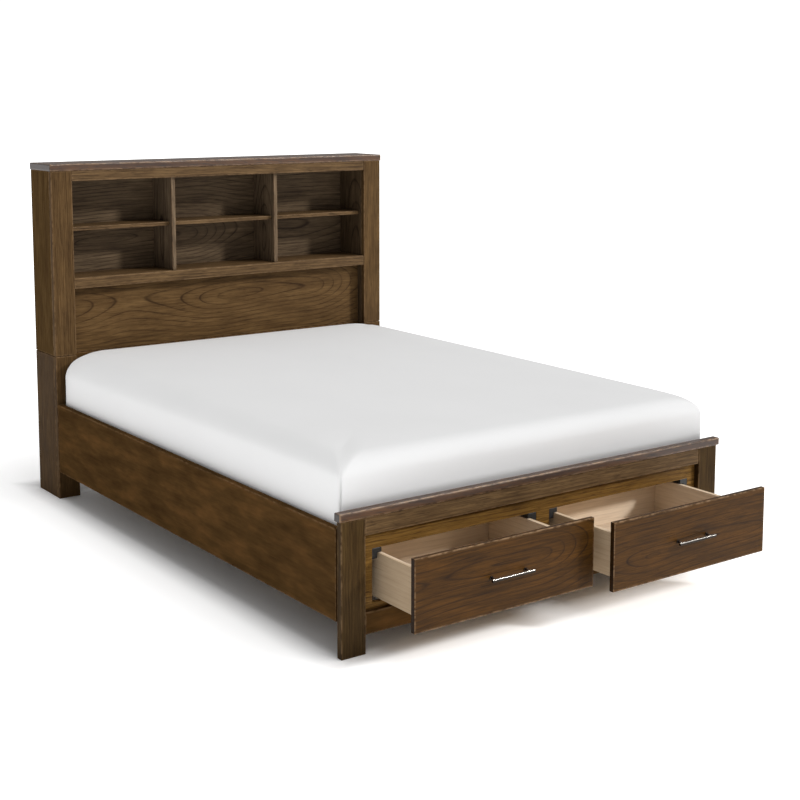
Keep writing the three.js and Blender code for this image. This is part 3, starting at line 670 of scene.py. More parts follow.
# %% Headboard legs and slats
def glued(name, boards, wood, ease=EASE, tone=0.0):
    """Joins several boards into one mesh. Each entry is low corner, high corner, grain axis."""
    stacks = {"points": [], "quads": [], "grain": [], "edge": []}
    count = 0
    for place, (low, high, along) in enumerate(boards):
        low, high = np.asarray(low, float), np.asarray(high, float)
        points, quads, edges = board_surface(low, high, ease)
        stacks["points"].append(points)
        stacks["quads"].append(quads + count)
        stacks["grain"].append(grain_of(points, low, high, along, f"{name} {place}"))
        stacks["edge"].append(edges)
        count += len(points)
    whole = {label: np.concatenate(rows) for label, rows in stacks.items()}
    attributes = {"grain": whole["grain"], "tone": np.full(count, tone), "edge": whole["edge"]}
    return mesh_object(name, whole["points"], whole["quads"], attributes, WOODS[wood])


GLUE_LINE = 0.2 * MM
LEG_BACK = 18 * MM  # thickness of a leg's rear board


def headboard_leg(hand):
    """A leg of four boards: a front stile and an outer side that carry on the ones above, an
    inner wall and a back."""
    low, high = corners(f"headboard_leg_{hand}")
    stile = corners(f"headboard_stile_{hand}")
    side = corners(f"headboard_side_{hand}")
    wall = corners(f"headboard_wall_{hand}")
    behind = stile[1][Y] + GLUE_LINE
    inner = [min(side[1][X], wall[1][X]) + GLUE_LINE, max(side[0][X], wall[0][X]) - GLUE_LINE]
    boards = [
        ((low[X], low[Y], low[Z]), (high[X], stile[1][Y], high[Z]), Z),
        ((side[0][X], behind, low[Z]), (side[1][X], high[Y], high[Z]), Z),
        ((wall[0][X], behind, low[Z]), (wall[1][X], high[Y], high[Z]), Z),
        ((inner[0], high[Y] - LEG_BACK, low[Z]), (inner[1], high[Y], high[Z]), Z),
    ]
    leg = glued(f"headboard_leg_{hand}_boards", boards, "post", tone=-0.14)
    return finished(leg, f"headboard_leg_{hand}")


SLATS = 14
SLAT_WIDTH = 70 * MM
SLAT_THICKNESS = 20 * MM
STRAP_WIDTH = 40 * MM


def slats_and_straps():
    """Fourteen slats shared out over the platform, and three webbing straps on top."""
    low, high = corners("slat_mat")
    starts = np.linspace(low[Y], high[Y] - SLAT_WIDTH, SLATS)
    top = low[Z] + SLAT_THICKNESS
    boards = [((low[X], y, low[Z]), (high[X], y + SLAT_WIDTH, top), X) for y in starts]
    slats = finished(glued("slat_boards", boards, "pale", tone=-0.06), "slat_mat")
    places = np.array([-1, 0, 1]) * high[X] * 2 / 3
    half = STRAP_WIDTH / 2
    straps = [((x - half, low[Y], top), (x + half, high[Y], high[Z]), Y) for x in places]
    webbing = glued("slat_straps", straps, "pale", ease=0.3 * MM)
    webbing.data.materials[0] = WEBBING
    finished(webbing, "slat_mat", stands_for_it=False)
    return slats


for hand in HANDS:
    headboard_leg(hand)
slats_and_straps()
print("legs and slats glued up")

# %% [markdown]
# ## Runs with a section
#
# A grooved box side, a nylon guide or a panel with openings isn't a plain board. Each is a flat
# section carried along a straight line, like a moulding off a planer. The section is closed, so
# the sides are one ring of quads and the ends are two flat caps, and a narrow Bevel modifier
# eases what is left sharp.

# %% Sections carried along a line
def carried(name, outline, span, axis, material, wood_grain=None, tone=0.0, ease=BOX_EASE):
    """Carries a closed outline along an axis. Outline points are the two other axes in X, Y, Z
    order, turning anticlockwise as seen from the far end of the axis."""
    outline = np.asarray(outline, float)
    others = [k for k in range(3) if k != axis]
    count = len(outline)
    points = np.empty((2 * count, 3))
    for row, place in enumerate(span):
        part = points[row * count : (row + 1) * count]
        part[:, others], part[:, axis] = outline, place
    near = np.arange(count)
    after = np.roll(near, -1)
    sides = np.stack([near, after, after + count, near + count], axis=1)
    faces = [tuple(side) for side in sides] + [tuple(near[::-1]), tuple(near + count)]
    if axis == Y:  # X and Z turn the other way about Y
        faces = [face[::-1] for face in faces]
    low, high = points.min(axis=0), points.max(axis=0)
    along = axis if wood_grain is None else wood_grain
    attributes = {
        "grain": grain_of(points, low, high, along, name),
        # Inner faces of the drawer boxes get a lighter tone: painted light, not a different finish.
        "tone": tone + INSIDE_PAINTED_LIGHT * painted_light_inside(points, name),
        "edge": np.zeros(len(points)),
    }
    made = mesh_object(name, points, faces, attributes, material, smooth=False)
    bevel = made.modifiers.new("eased edges", "BEVEL")
    bevel.width, bevel.segments, bevel.limit_method = ease, 2, "ANGLE"
    bevel.harden_normals = False
    return made


GROOVE_DEPTH = 6 * MM
GROOVE_PLAY = 0.3 * MM


def groove_of(hand):
    """The groove's lower and upper edge: the drawer's base and a little play."""
    base = corners(f"drawer_{hand}_base")
    return base[0][Z] - GROOVE_PLAY, base[1][Z] + GROOVE_PLAY


def box_side(hand, which):
    """A drawer side, grooved inside for the base, with its veneer running front to back."""
    node = f"drawer_{hand}_side_{which}"
    low, high = corners(node)
    groove = groove_of(hand)
    inner, outer = (high[X], low[X]) if which == "left" else (low[X], high[X])
    deep = inner + math.copysign(GROOVE_DEPTH, outer - inner)
    section = [
        (outer, low[Z]), (outer, high[Z]), (inner, high[Z]), (inner, groove[1]),
        (deep, groove[1]), (deep, groove[0]), (inner, groove[0]), (inner, low[Z]),
    ]
    if outer > inner:  # keeps the outline turning the same way on both hands
        section.reverse()
    side = carried(node + "_board", section[::-1], (low[Y], high[Y]), Y, WOODS["pale"], Y, 0.0)
    return finished(side, node)


def box_inner_front(hand):
    """The board behind the drawer's face, grooved on its inner side for the base."""
    node = f"drawer_{hand}_inner_front"
    low, high = corners(node)
    groove = groove_of(hand)
    deep = high[Y] - GROOVE_DEPTH
    section = [
        (low[Y], low[Z]), (high[Y], low[Z]), (high[Y], groove[0]), (deep, groove[0]),
        (deep, groove[1]), (high[Y], groove[1]), (high[Y], high[Z]), (low[Y], high[Z]),
    ]
    front = carried(node + "_board", section, (low[X], high[X]), X, WOODS["pale"], X, 0.02)
    return finished(front, node)


for hand in HANDS:
    box_inner_front(hand)
    for which in HANDS:
        box_side(hand, which)

# %% The panel with its two openings
OPENING_EASE = 1.2 * MM
MULLION_HALF = 29 * MM  # half the panel left between the openings
OPENING_END = 38 * MM  # panel left between an opening and the post
OPENING_LOW = 89 * MM  # the openings' lower edge above the panel's
OPENING_HIGH = 110 * MM  # their upper edge below the panel's


def face_panel():
    """A panel with two openings: a grid of five by three cells whose second and fourth cell of
    the middle row are left out, front and back, and walls round every free edge."""
    low, high = corners("footboard_face_panel")
    end = high[X] - OPENING_END
    xs = np.array([low[X], -end, -MULLION_HALF, MULLION_HALF, end, high[X]])
    zs = np.array([low[Z], low[Z] + OPENING_LOW, high[Z] - OPENING_HIGH, high[Z]])
    grid_x, grid_z = np.meshgrid(xs, zs, indexing="ij")
    flat = grid_x.ravel(), grid_z.ravel()
    sheet = [np.stack([flat[0], np.full(flat[0].size, y), flat[1]], axis=1) for y in (low[Y], high[Y])]
    points, per_sheet = np.concatenate(sheet), flat[0].size
    index = np.arange(per_sheet).reshape(grid_x.shape)
    solid = np.ones((5, 3), bool)
    solid[[1, 3], 1] = False
    ring = np.stack([index[:-1, :-1], index[1:, :-1], index[1:, 1:], index[:-1, 1:]], axis=-1)
    front = ring[solid]
    faces = [tuple(quad) for quad in front] + [tuple(quad[::-1] + per_sheet) for quad in front]
    # An edge walked once by the front's quads is a free edge, and gets a wall to the back.
    walks = np.concatenate([np.stack([front[:, k], front[:, (k + 1) % 4]], axis=1) for k in range(4)])
    known = {tuple(walk) for walk in walks}
    free = [(a, b) for a, b in sorted(known) if (b, a) not in known]
    faces += [(b, a, a + per_sheet, b + per_sheet) for a, b in free]
    attributes = {
        "grain": grain_of(points, low, high, X, "footboard_face_panel"),
        "tone": np.full(len(points), 0.04),
        "edge": np.zeros(len(points)),
    }
    panel = mesh_object("footboard_face_veneer", points, faces, attributes, WOODS["face"], smooth=False)
    bevel = panel.modifiers.new("eased edges", "BEVEL")
    bevel.width, bevel.segments, bevel.limit_method = OPENING_EASE, 2, "ANGLE"
    return finished(panel, "footboard_face_panel")


panel = face_panel()
print("face panel faces:", len(panel.data.polygons))

# %% [markdown]
# ## Drawer hardware
#
# The pulls are the only bright metal on the bed: a slim square bar on two turned posts. The
# bar is an eased board in metal. A post is a profile turned about its axis: each point of the
# profile keeps its distance from the axis while the angle runs all the way round.

# %% Bar pulls
BAR = 9 * MM
BAR_EASE = 1.1 * MM
POST_RADIUS = 4.6 * MM
POST_FOOT = 6.4 * MM  # small flange against the drawer's face
POST_SPACING = 136 * MM
TURN_STEPS = 40


def ring_quads(rings, steps):
    """Quads between neighbouring rings of a grid, closed round each ring."""
    index = np.arange(rings * steps).reshape(rings, steps)
    after = np.roll(index, -1, axis=1)
    return np.stack([index[:-1], after[:-1], after[1:], index[1:]], axis=-1).reshape(-1, 4)


def turned(profile, centre, steps=TURN_STEPS):
    """A profile of (distance along -Y, radius) turned about a line along Y through centre:
    x = radius * cosine, z = radius * sine. It starts and ends on the axis."""
    profile = np.asarray(profile, float)
    angle = np.linspace(0, 2 * math.pi, steps, endpoint=False)
    x = centre[X] + profile[:, 1:] * np.cos(angle)
    z = centre[Z] + profile[:, 1:] * np.sin(angle)
    y = np.broadcast_to(centre[Y] - profile[:, :1], x.shape)
    points = np.stack([x, y, z], axis=-1)
    return points.reshape(-1, 3), ring_quads(*x.shape)


def bar_pull(hand):
    """The pull of one drawer: an eased square bar and two posts with a small flange."""
    node = f"drawer_{hand}_pull"
    low, high = corners(node)
    middle = (low + high) / 2
    bar_back = low[Y] + BAR
    bar_low, bar_high = (low[X], low[Y], middle[Z] - BAR / 2), (high[X], bar_back, middle[Z] + BAR / 2)
    bar = board_surface(bar_low, bar_high, BAR_EASE, 3)
    reach = high[Y] - bar_back
    profile = np.array([
        (0, 0), (0, POST_FOOT), (1.6 * MM, POST_FOOT), (2.6 * MM, POST_RADIUS + 0.5 * MM),
        (4 * MM, POST_RADIUS), (reach, POST_RADIUS * 0.86),
        (reach + 1 * MM, POST_RADIUS * 0.8), (reach + 1 * MM, 0),
    ])
    points, quads, count = [bar[0]], [bar[1]], len(bar[0])
    for side in (-1, 1):
        centre = (middle[X] + side * POST_SPACING / 2, high[Y], middle[Z])
        post, faces = turned(profile, centre)
        points.append(post)
        quads.append(faces + count)
        count += len(post)
    points, quads = np.concatenate(points), np.concatenate(quads)
    # The third value is the painted highlight: 1 on the bar's upper face, 0 below it and on the posts.
    height = (points[:, Z] - middle[Z]) / (BAR / 2)
    on_bar = points[:, Y] < bar_back + 0.1 * MM
    return points, quads, np.clip(height * 2 - 0.6, 0, 1) * on_bar


def without_collapsed(points, quads):
    """Faces as tuples, with points that share a place counted once, so a pole's quads close as
    triangles and nothing is left open."""
    same = merged(points)[2][quads]
    faces = []
    for quad, marks in zip(quads, same):
        kept = [point for k, point in enumerate(quad) if marks[k] != marks[k - 1]]
        if len(kept) > 2:
            faces.append(tuple(kept))
    return faces


for hand in HANDS:
    points, quads, painted_highlight = bar_pull(hand)
    node = f"drawer_{hand}_pull"
    faces = without_collapsed(points, quads)
    pull = mesh_object(node + "_bar", points, faces, {"painted_highlight": painted_highlight}, BRONZE)
    pull.data.set_sharp_from_angle(angle=math.radians(35))
    finished(pull, node)
print("pulls made")

# %% Guides, tracks and runners
GUIDE_PLAY = 2 * MM  # the lip stands this far over the box side
GUIDE_REACH = 19 * MM  # how far the upright stands in from the opening's end
GUIDE_EASE = 1.2 * MM


def corner_guide(node):
    """A nylon corner guide: an upright against the opening's end and a lip over the box."""
    low, high = corners(node)
    hand, place = node.split("_")[2:]
    side = 1 if (hand == "right") == (place == "outer") else -1
    lip_bottom = corners(f"drawer_{hand}_side_{'right' if side > 0 else 'left'}")[1][Z] + GUIDE_PLAY
    wall, lip = (high[X], low[X]) if side > 0 else (low[X], high[X])
    face = wall - side * GUIDE_REACH
    section = [
        (wall, low[Z]), (wall, high[Z]), (lip, high[Z]),
        (lip, lip_bottom), (face, lip_bottom), (face, low[Z]),
    ]
    if side > 0:
        section.reverse()
    guide = carried(node + "_moulding", section[::-1], (low[Y], high[Y]), Y, NYLON, ease=GUIDE_EASE)
    return finished(guide, node)


for node in NODES:
    if node.startswith("corner_guide"):
        corner_guide(node)
for node in [n for n in NODES if n.startswith("drawer_track") or n.endswith("_runner")]:
    shown = frame["nodes"][node]
    shown.data.materials.clear()
    shown.data.materials.append(ZINC)
print("hardware dressed")

# %% [markdown]
# ## The mattress
#
# The mattress is foam in a stretch cover: a full, slightly crowned top that rolls over into
# straight borders, with a sewn seam standing down each corner. It could be a cube with a
# subdivision surface, but then every corner has one and the same roundness. Here it is a stack
# of rounded rectangles. One parameter goes round the rectangle and the other goes from the
# middle of the underside, up the border and over to the middle of the top, pulling the outline
# in as it goes. The foot rolls over softly, and the head stays fuller against the headboard.
#
# The foam's push is then a short cloth simulation: air pressure fills the cover, and no point
# may move more than a few millimetres from where the upholsterer cut it.

# %% Mattress surface
PLAN_CORNER = 20 * MM  # roundness of a corner seen from above, where the borders are sewn
CORNER_SPREAD = 62 * MM  # how much rounder it gets where the top rolls over
HEAD_SIDE_ROLL = 104 * MM  # how far the top rolls over at the sides, by the headboard
FOOT_SIDE_ROLL = 62 * MM  # and by the foot, where the cover is pulled tighter
FOOT_ROLL = 54 * MM
HEAD_ROLL = 34 * MM
BOTTOM_ROLL = 40 * MM
CROWN = 9 * MM  # the top's middle stands this much over its rolled edges
FOOT_FALL = 13 * MM  # the foot end lies lower than the head end
PULL_IN = 4 * MM  # the foam lets the border draw in between the corners
CORNER_STEPS = 24
LONG_STEPS = 66
WIDE_STEPS = 48
ROLL_STEPS = 15
TOP_RINGS = 42
UNDER_RINGS = 14
BORDER_RINGS = 9
RIDGE = 0.24  # the top closes on a line this share of its length, not on one point


def rounded_rectangle(half_x, half_y, radius):
    """Points round a rectangle with round corners, the same number for every size: each corner
    is its centre plus the radius along even angles, and each side is shared out evenly from
    the end of one corner to the start of the next."""
    quarter = np.linspace(0, math.pi / 2, CORNER_STEPS)
    outline = []
    for turn, (sx, sy) in enumerate([(1, 1), (-1, 1), (-1, -1), (1, -1)]):
        angle = quarter + turn * math.pi / 2
        x = sx * (half_x - radius) + radius * np.cos(angle)
        y = sy * (half_y - radius) + radius * np.sin(angle)
        outline.append(np.stack([x, y], axis=1))
    whole = []
    for turn in range(4):
        start, end = outline[turn][-1], outline[(turn + 1) % 4][0]
        steps = WIDE_STEPS if turn % 2 == 0 else LONG_STEPS
        share = np.linspace(0, 1, steps + 2)[1:-1, None]
        whole += [outline[turn], start + share * (end - start)]
    return np.concatenate(whole)


def mattress_profile():
    """The way from the underside's middle to the top's middle, as rows of (roll, zone, rise,
    closed): roll goes from 0 at the border to 1 where the top is flat, rise is the height
    inside the zone, and closed goes from 0 to 1 as the flat parts shut."""
    turn = np.linspace(0, math.pi / 2, ROLL_STEPS)
    under = [(1.0, 0, 0.0, s) for s in np.linspace(1, 0, UNDER_RINGS)[:-1]]
    low_round = [(1 - math.sin(t), 0, 1 - math.cos(t), 0.0) for t in turn]
    border = [(0.0, 1, s, 0.0) for s in np.linspace(0, 1, BORDER_RINGS)[1:-1]]
    high_round = [(1 - math.cos(t), 2, math.sin(t), 0.0) for t in turn]
    over = [(1.0, 2, 1.0, s) for s in np.linspace(0, 1, TOP_RINGS)[1:]]
    return np.array(under + low_round + border + high_round + over)


def mattress_surface():
    """Rings stacked along the profile: a grid of points, ring by ring."""
    low, high = corners("mattress")
    half = high[X]
    rings = []
    for roll, zone, _, closed in mattress_profile():
        at_top = zone == 2
        side = roll * (HEAD_SIDE_ROLL if at_top else BOTTOM_ROLL)
        foot = roll * (FOOT_ROLL if at_top else BOTTOM_ROLL)
        head = roll * (HEAD_ROLL if at_top else BOTTOM_ROLL)
        half_x = (half - side) * (1 - closed)
        length = high[Y] - head - low[Y] - foot
        half_y = length / 2 * (1 - closed * (1 - RIDGE))
        radius = (PLAN_CORNER + CORNER_SPREAD * roll * at_top) * (1 - closed)
        ring = rounded_rectangle(half_x, half_y, min(radius, half_x))
        rings.append(ring + [0.0, (high[Y] - head + low[Y] + foot) / 2])
    x, y = np.moveaxis(np.stack(rings), 2, 0)
    roll, zone, rise, closed = (column[:, None] for column in mattress_profile().T)
    along = np.clip((y - low[Y]) / (high[Y] - low[Y]), 0, 1)
    # The side roll is fuller by the headboard and tighter by the foot.
    side_roll = FOOT_SIDE_ROLL + (HEAD_SIDE_ROLL - FOOT_SIDE_ROLL) * along**1.5
    x = np.where(zone == 2, x * (half - roll * side_roll) / (half - roll * HEAD_SIDE_ROLL), x)
    # The top falls towards the foot and a little towards the right side, and is crowned.
    crown = CROWN * np.clip(1 - (x / half) ** 2, 0, 1) * np.sin(math.pi * along) ** 0.5
    crest = high[Z] - 4 * MM - FOOT_FALL * (1 - along) - 3 * MM * (x / half) + crown
    roll_from = crest - crown - side_roll
    border_low = low[Z] + BOTTOM_ROLL
    under, border = low[Z] + rise * BOTTOM_ROLL, border_low + rise * (roll_from - border_low)
    z = np.where(zone == 0, under, np.where(zone == 1, border, roll_from + rise * (crest - roll_from)))
    # The border draws in between the corners, most at half height and half way along.
    waist = np.sin(math.pi * np.clip((z - low[Z]) / (roll_from - low[Z]), 0, 1)) * PULL_IN
    x = x - np.sign(x) * waist * (np.abs(x) > 0.94 * half) * np.sin(math.pi * along)
    middle_way = np.cos(0.5 * math.pi * np.clip(x / half, -1, 1))
    y = y + waist * middle_way * ((along < 0.03) * 1.0 - (along > 0.97) * 1.0)
    return np.stack([x, y, z], axis=-1)


# %% Corner seams
SEAM_WIDTH = 3.4 * MM
SEAM_DEPTH = 3.6 * MM


def sewn_corners(points):
    """A groove down each corner of the plan that fades out over the roll. Its depth is a bell
    curve of the distance from the corner's diagonal, times a fade in height."""
    low, high = corners("mattress")
    seam_shade, way = np.zeros(len(points)), np.zeros((len(points), 2))
    for side in (-1, 1):
        for end, place in ((-1, low[Y]), (1, high[Y])):
            diagonal = np.array([side, end]) / math.sqrt(2)
            offset = points[:, :2] - (side * high[X], place)
            sideways = offset @ np.array([-diagonal[1], diagonal[0]])
            near = np.exp(-((sideways / SEAM_WIDTH) ** 2)) * (offset @ diagonal > -0.12)
            seam_shade = np.maximum(seam_shade, near)
            way += near[:, None] * diagonal
    from_top = high[Z] - FOOT_FALL - points[:, 2]
    fade = np.clip(from_top / FOOT_SIDE_ROLL - 0.5, 0, 1)
    fade *= np.clip((points[:, 2] - low[Z]) / BOTTOM_ROLL, 0, 1)
    moved = points.copy()
    moved[:, :2] -= way * (SEAM_DEPTH * fade)[:, None]
    # The faded bell curve also comes back as the mask that greys the groove: painted shade.
    return moved, seam_shade * fade


# %% [markdown]
# ### Filling the cover
#
# A cloth simulation finds the way foam fills a cover: pressure pushes out wherever the cover
# can give. It runs on a net that takes every third line of the surface. The movement is smooth,
# so the lines between take theirs from the net by straight interpolation, and the sewn corners
# come afterwards.

# %% Mattress filled by pressure
NET = 3  # every third line of the surface is a line of the net
MOST_SWELL = 7 * MM
CLOTH_FRAMES = 20
SWELL_SHARE = [0.4, 0.4, 1.0]  # rails and headboard hold the borders back
SPARE_LOW = np.array([2, 2, 0]) * MM  # how far the cover may stand past its node's box
SPARE_HIGH = np.array([2, 1, 9]) * MM


def every_third(count):
    """Places of the net's lines among count lines, with the last line always kept."""
    return np.unique(np.append(np.arange(0, count, NET), count - 1))


def swell(surface):
    """Fills the net with air for a few frames and returns how far each point of the surface
    moves. A point moves at most MOST_SWELL."""
    scene = bpy.context.scene
    rows, columns = every_third(surface.shape[0]), np.arange(0, surface.shape[1], NET)
    net = surface[rows][:, columns]
    flat = net.reshape(-1, 3)
    _, first, same = merged(flat)
    faces = without_collapsed(flat, ring_quads(len(rows), len(columns)))
    mesh = bpy.data.meshes.new("cover")
    mesh.from_pydata(flat[first], [], [[int(same[k]) for k in face] for face in faces])
    cover = bpy.data.objects.new("cover", mesh)
    scene.collection.objects.link(cover)
    before = flat[first]
    held = cover.vertex_groups.new(name="held")
    low = corners("mattress")[0][Z]
    held.add(np.flatnonzero(before[:, Z] < low + BOTTOM_ROLL).tolist(), 1.0, "REPLACE")
    cloth = cover.modifiers.new("cloth", "CLOTH")
    settings = cloth.settings
    settings.use_pressure, settings.uniform_pressure_force = True, 4.0
    settings.effector_weights.gravity = 0.0
    settings.tension_stiffness = settings.compression_stiffness = 40.0
    settings.bending_stiffness = 6.0
    settings.vertex_group_mass = "held"
    cloth.point_cache.frame_end = CLOTH_FRAMES
    for step in range(1, CLOTH_FRAMES + 1):
        scene.frame_set(step)
    filled = cover.evaluated_get(bpy.context.evaluated_depsgraph_get()).to_mesh()
    after = np.empty(len(filled.vertices) * 3)
    filled.vertices.foreach_get("co", after)
    move = after.reshape(-1, 3) - before
    length = np.linalg.norm(move, axis=1, keepdims=True)
    print("cloth moved at most", round(float(length.max()) / MM, 1), "mm before the cap")
    move *= np.minimum(1.0, MOST_SWELL / np.maximum(length, 1e-9))
    scene.frame_set(1)
    bpy.data.objects.remove(cover)
    # Straight interpolation, first round each closed ring, then from ring to ring.
    grid = move[same].reshape(len(rows), len(columns), 3)
    grid = np.concatenate([grid, grid[:, :1]], axis=1)
    ends = np.append(columns, surface.shape[1])
    round_ring = blended(grid, ends, np.arange(surface.shape[1]), axis=1)
    return blended(round_ring, rows, np.arange(surface.shape[0]), axis=0)


def blended(values, known, wanted, axis):
    """Linear interpolation of rows of values along an axis, from known places to wanted ones:
    (1 - share) times the row before plus share times the row after."""
    after = np.clip(np.searchsorted(known, wanted, side="right"), 1, len(known) - 1)
    share = (wanted - known[after - 1]) / (known[after] - known[after - 1])
    shape = [1, 1, 1]
    shape[axis] = -1
    share = share.reshape(shape)
    return (1 - share) * np.take(values, after - 1, axis) + share * np.take(values, after, axis)


surface = mattress_surface()
# It can only fill out: it stays on its slats, between its rails and off the headboard.
cad_low, cad_high = corners("mattress")
_, first, same = merged(surface.reshape(-1, 3))
surface = surface + swell(surface) * SWELL_SHARE
surface = np.clip(surface, cad_low - SPARE_LOW, cad_high + SPARE_HIGH)
# Points that shared a place before still do, so the line where the top closes stays shut.
surface = surface.reshape(-1, 3)[first][same].reshape(surface.shape)
points, seam_shade = sewn_corners(surface.reshape(-1, 3))
faces = without_collapsed(points, ring_quads(*surface.shape[:2]))
mattress = mesh_object("mattress_cover", points, faces, {"seam_shade": seam_shade}, TICKING)
finished(mattress, "mattress")
print("mattress points:", len(mattress.data.vertices))

# %% [markdown]
# ## Fixings that show
#
# A back panel is screwed into the posts and dividers, and a bed is bolted together through
# its legs. The panel's screws sit in two rows and a few up the sides. Each is a low dome with a
# round dip at its middle, small enough that a turned dome with few steps is plenty.

# %% Screws in the back panel
SCREW_RADIUS = 4.2 * MM
SCREW_INSET = 12 * MM  # rows stand this far in from the panel's edges
SCREWS_ACROSS = 9
SCREWS_UP = 4


def back_panel_screws():
    """Low dome heads round the back panel: radius falls off as a circle's does."""
    low, high = corners("headboard_back_panel")
    xs = np.linspace(low[X] + SCREW_INSET, high[X] - SCREW_INSET, SCREWS_ACROSS)
    zs = np.linspace(low[Z] + SCREW_INSET, high[Z] - SCREW_INSET, SCREWS_UP)
    places = [(x, z) for x in xs for z in (zs[0], zs[-1])]
    places += [(x, z) for z in zs[1:-1] for x in (xs[0], xs[-1])]
    angle = np.linspace(0, math.pi / 2, 4)
    height, radius = 1.6 * MM * np.sin(angle), SCREW_RADIUS * np.cos(angle)
    # The recess dips back towards the panel at the head's middle.
    profile = np.stack([-height, radius], axis=1)
    profile[-1] = (-1.0 * MM, 0.0)
    profile[-2, 1] = 1.6 * MM
    profile = np.concatenate([[[0.0, 0.0]], profile])
    points, faces, count = [], [], 0
    for x, z in places:
        head, quads = turned(profile, (x, high[Y], z), steps=12)
        points.append(head)
        faces.append(quads[:, ::-1] + count)
        count += len(head)
    points, faces = np.concatenate(points), np.concatenate(faces)
    screws = mesh_object("back_panel_screws", points, without_collapsed(points, faces), {}, SCREW)
    return finished(screws, "drawer_track_left", stands_for_it=False)


back_panel_screws()
print("screws in place")

# %% [markdown]
# ## Floor, light and camera
#
# Furniture is shot on white: a pale sweep that runs out of sight and glows a little itself, white
# walls all round, a wide soft panel overhead that leans towards the foot, and a small key light
# low on the right and in front, which draws the right drawer's shadow over the left one and
# reaches into the boxes. Spot lamps could do it, but they fall off with distance and leave a
# grey horizon. Light from all round keeps the wood's true colour.

# %% Studio
ROOM_LIGHT = 0.4  # white walls all round, as a share of pure white
KEY_POWER = 2.4
KEY_WIDTH = 7.0  # degrees
TOP_POWER = 1.6
TOP_WIDTH = 45.0
FLOOR_GLOW = 0.42  # a light table shines from below, which thins the shadow
UNLIT = (0.8, 1.2)  # half the bed's width and length in metres: under it the table stays dark
UNLIT_MIDDLE = 0.12  # how far the bed's middle lies towards the head
UNLIT_EDGE = 0.12  # the glow comes up over this distance


def sealed_sweep():
    """A pale lit sweep: faint clouds a metre wide in the paper."""
    material, tree, shader = new_material("pale_studio_sweep")
    place = object_place(tree)
    clouds = noise(tree, stretched(tree, place, (0.8, 0.8, 0.8)), detail=2.0)
    colour = mix_colour(tree, clouds, linear("#fbfbfb"), linear("#ffffff"))
    tree.links.new(colour, shader.inputs["Base Color"])
    shader.inputs["Emission Color"].default_value = linear("#ffffff")
    parts = add(tree, "ShaderNodeSeparateXYZ", Vector=place).outputs
    along = math_node(tree, "ABSOLUTE", math_node(tree, "SUBTRACT", parts[1], UNLIT_MIDDLE))
    ways = [math_node(tree, "SUBTRACT", way, half) for way, half in
            ((math_node(tree, "ABSOLUTE", parts[0]), UNLIT[0]), (along, UNLIT[1]))]
    outside = ramp(tree, math_node(tree, "MAXIMUM", *ways), [(0.0, 0.0), (UNLIT_EDGE, 1.0)])
    glow = math_node(tree, "MULTIPLY", outside, FLOOR_GLOW)
    tree.links.new(glow, shader.inputs["Emission Strength"])
    shader.inputs["Roughness"].default_value = 0.9
    shader.inputs["Specular IOR Level"].default_value = 0.0
    return material


FLOOR_HALF = 60.0
corner_points = np.array([(-1, -1, 0), (1, -1, 0), (1, 1, 0), (-1, 1, 0)]) * FLOOR_HALF
floor = mesh_object("studio_floor", corner_points, [(0, 1, 2, 3)], {}, sealed_sweep(), smooth=False)


def lamp(name, kind, place, aim, **settings):
    """A light at a place, aimed at a point: it looks down its own -Z, so it is pitched up from
    straight down and then turned to face the point."""
    data = bpy.data.lights.new(name, kind)
    for label, value in settings.items():
        setattr(data, label, value)
    light = bpy.data.objects.new(name, data)
    bpy.context.scene.collection.objects.link(light)
    way = np.array(aim, float) - np.array(place, float)
    yaw, pitch = math.atan2(way[0], way[1]), math.atan2(way[2], math.hypot(way[0], way[1]))
    light.location = place
    light.rotation_euler = (math.pi / 2 + pitch, 0.0, -yaw)
    light.visible_camera = False
    return light


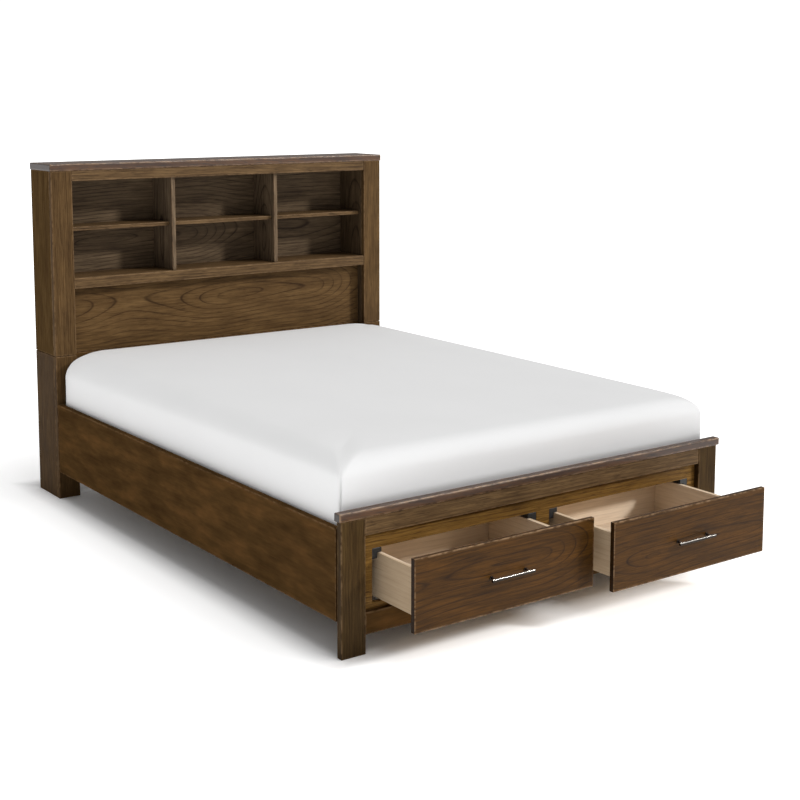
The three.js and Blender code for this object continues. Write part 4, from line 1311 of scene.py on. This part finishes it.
# Lamps this far off light floor and bed evenly. An angle is a softbox's size seen from the bed.
key = lamp("key", "SUN", (6.0, -6.5, 4.9), (0, 0, 0), energy=KEY_POWER, angle=math.radians(KEY_WIDTH))
lamp("overhead", "SUN", (2.8, -3.4, 9.0), (0, 0, 0), energy=TOP_POWER, angle=math.radians(TOP_WIDTH))

# The small key would burn out the white cover beside dark wood, so light linking leaves the
# cover out of it. No real lamp does that: it is a choice about exposure, not part of the bed.
key_lights = bpy.data.collections.new("lit_by_key")
for shown in bpy.context.scene.objects:
    if shown.type == "MESH" and shown is not mattress:
        key_lights.objects.link(shown)
key.light_linking.receiver_collection = key_lights

world = bpy.data.worlds.new("studio_white")
bpy.context.scene.world = world
world.use_nodes = True
sky = world.node_tree
dim = sky.nodes["Background"]
dim.inputs["Color"].default_value = linear("#ffffff")
dim.inputs["Strength"].default_value = ROOM_LIGHT
white = add(sky, "ShaderNodeBackground", Color=linear("#ffffff"), Strength=1.1)
seen = add(sky, "ShaderNodeLightPath").outputs["Is Camera Ray"]
both = add(sky, "ShaderNodeMixShader", i0=seen, i1=dim.outputs[0], i2=white.outputs[0])
sky.links.new(both.outputs[0], sky.nodes["World Output"].inputs["Surface"])
bpy.context.scene.view_settings.view_transform = "Standard"

# %% Camera
CAMERA_PLACE = (-3127.2 * MM, -4551.7 * MM, 1713.5 * MM)
CAMERA_YAW = 35.535  # degrees, from the bed's length towards its right side
CAMERA_PITCH = 7.076  # degrees below the horizon
LENS = 64.41  # millimetres, on a 36 mm sensor
RISE = -0.1625  # a view camera's rising front keeps the posts almost upright
CROSS = 0.0125

camera_data = bpy.data.cameras.new("camera")
camera_data.sensor_width, camera_data.lens = 36.0, LENS
camera_data.shift_x, camera_data.shift_y = CROSS, RISE
camera = bpy.data.objects.new("camera", camera_data)
bpy.context.scene.collection.objects.link(camera)
camera.location = CAMERA_PLACE
camera.rotation_euler = (math.radians(90 - CAMERA_PITCH), 0.0, math.radians(-CAMERA_YAW))
bpy.context.scene.camera = camera
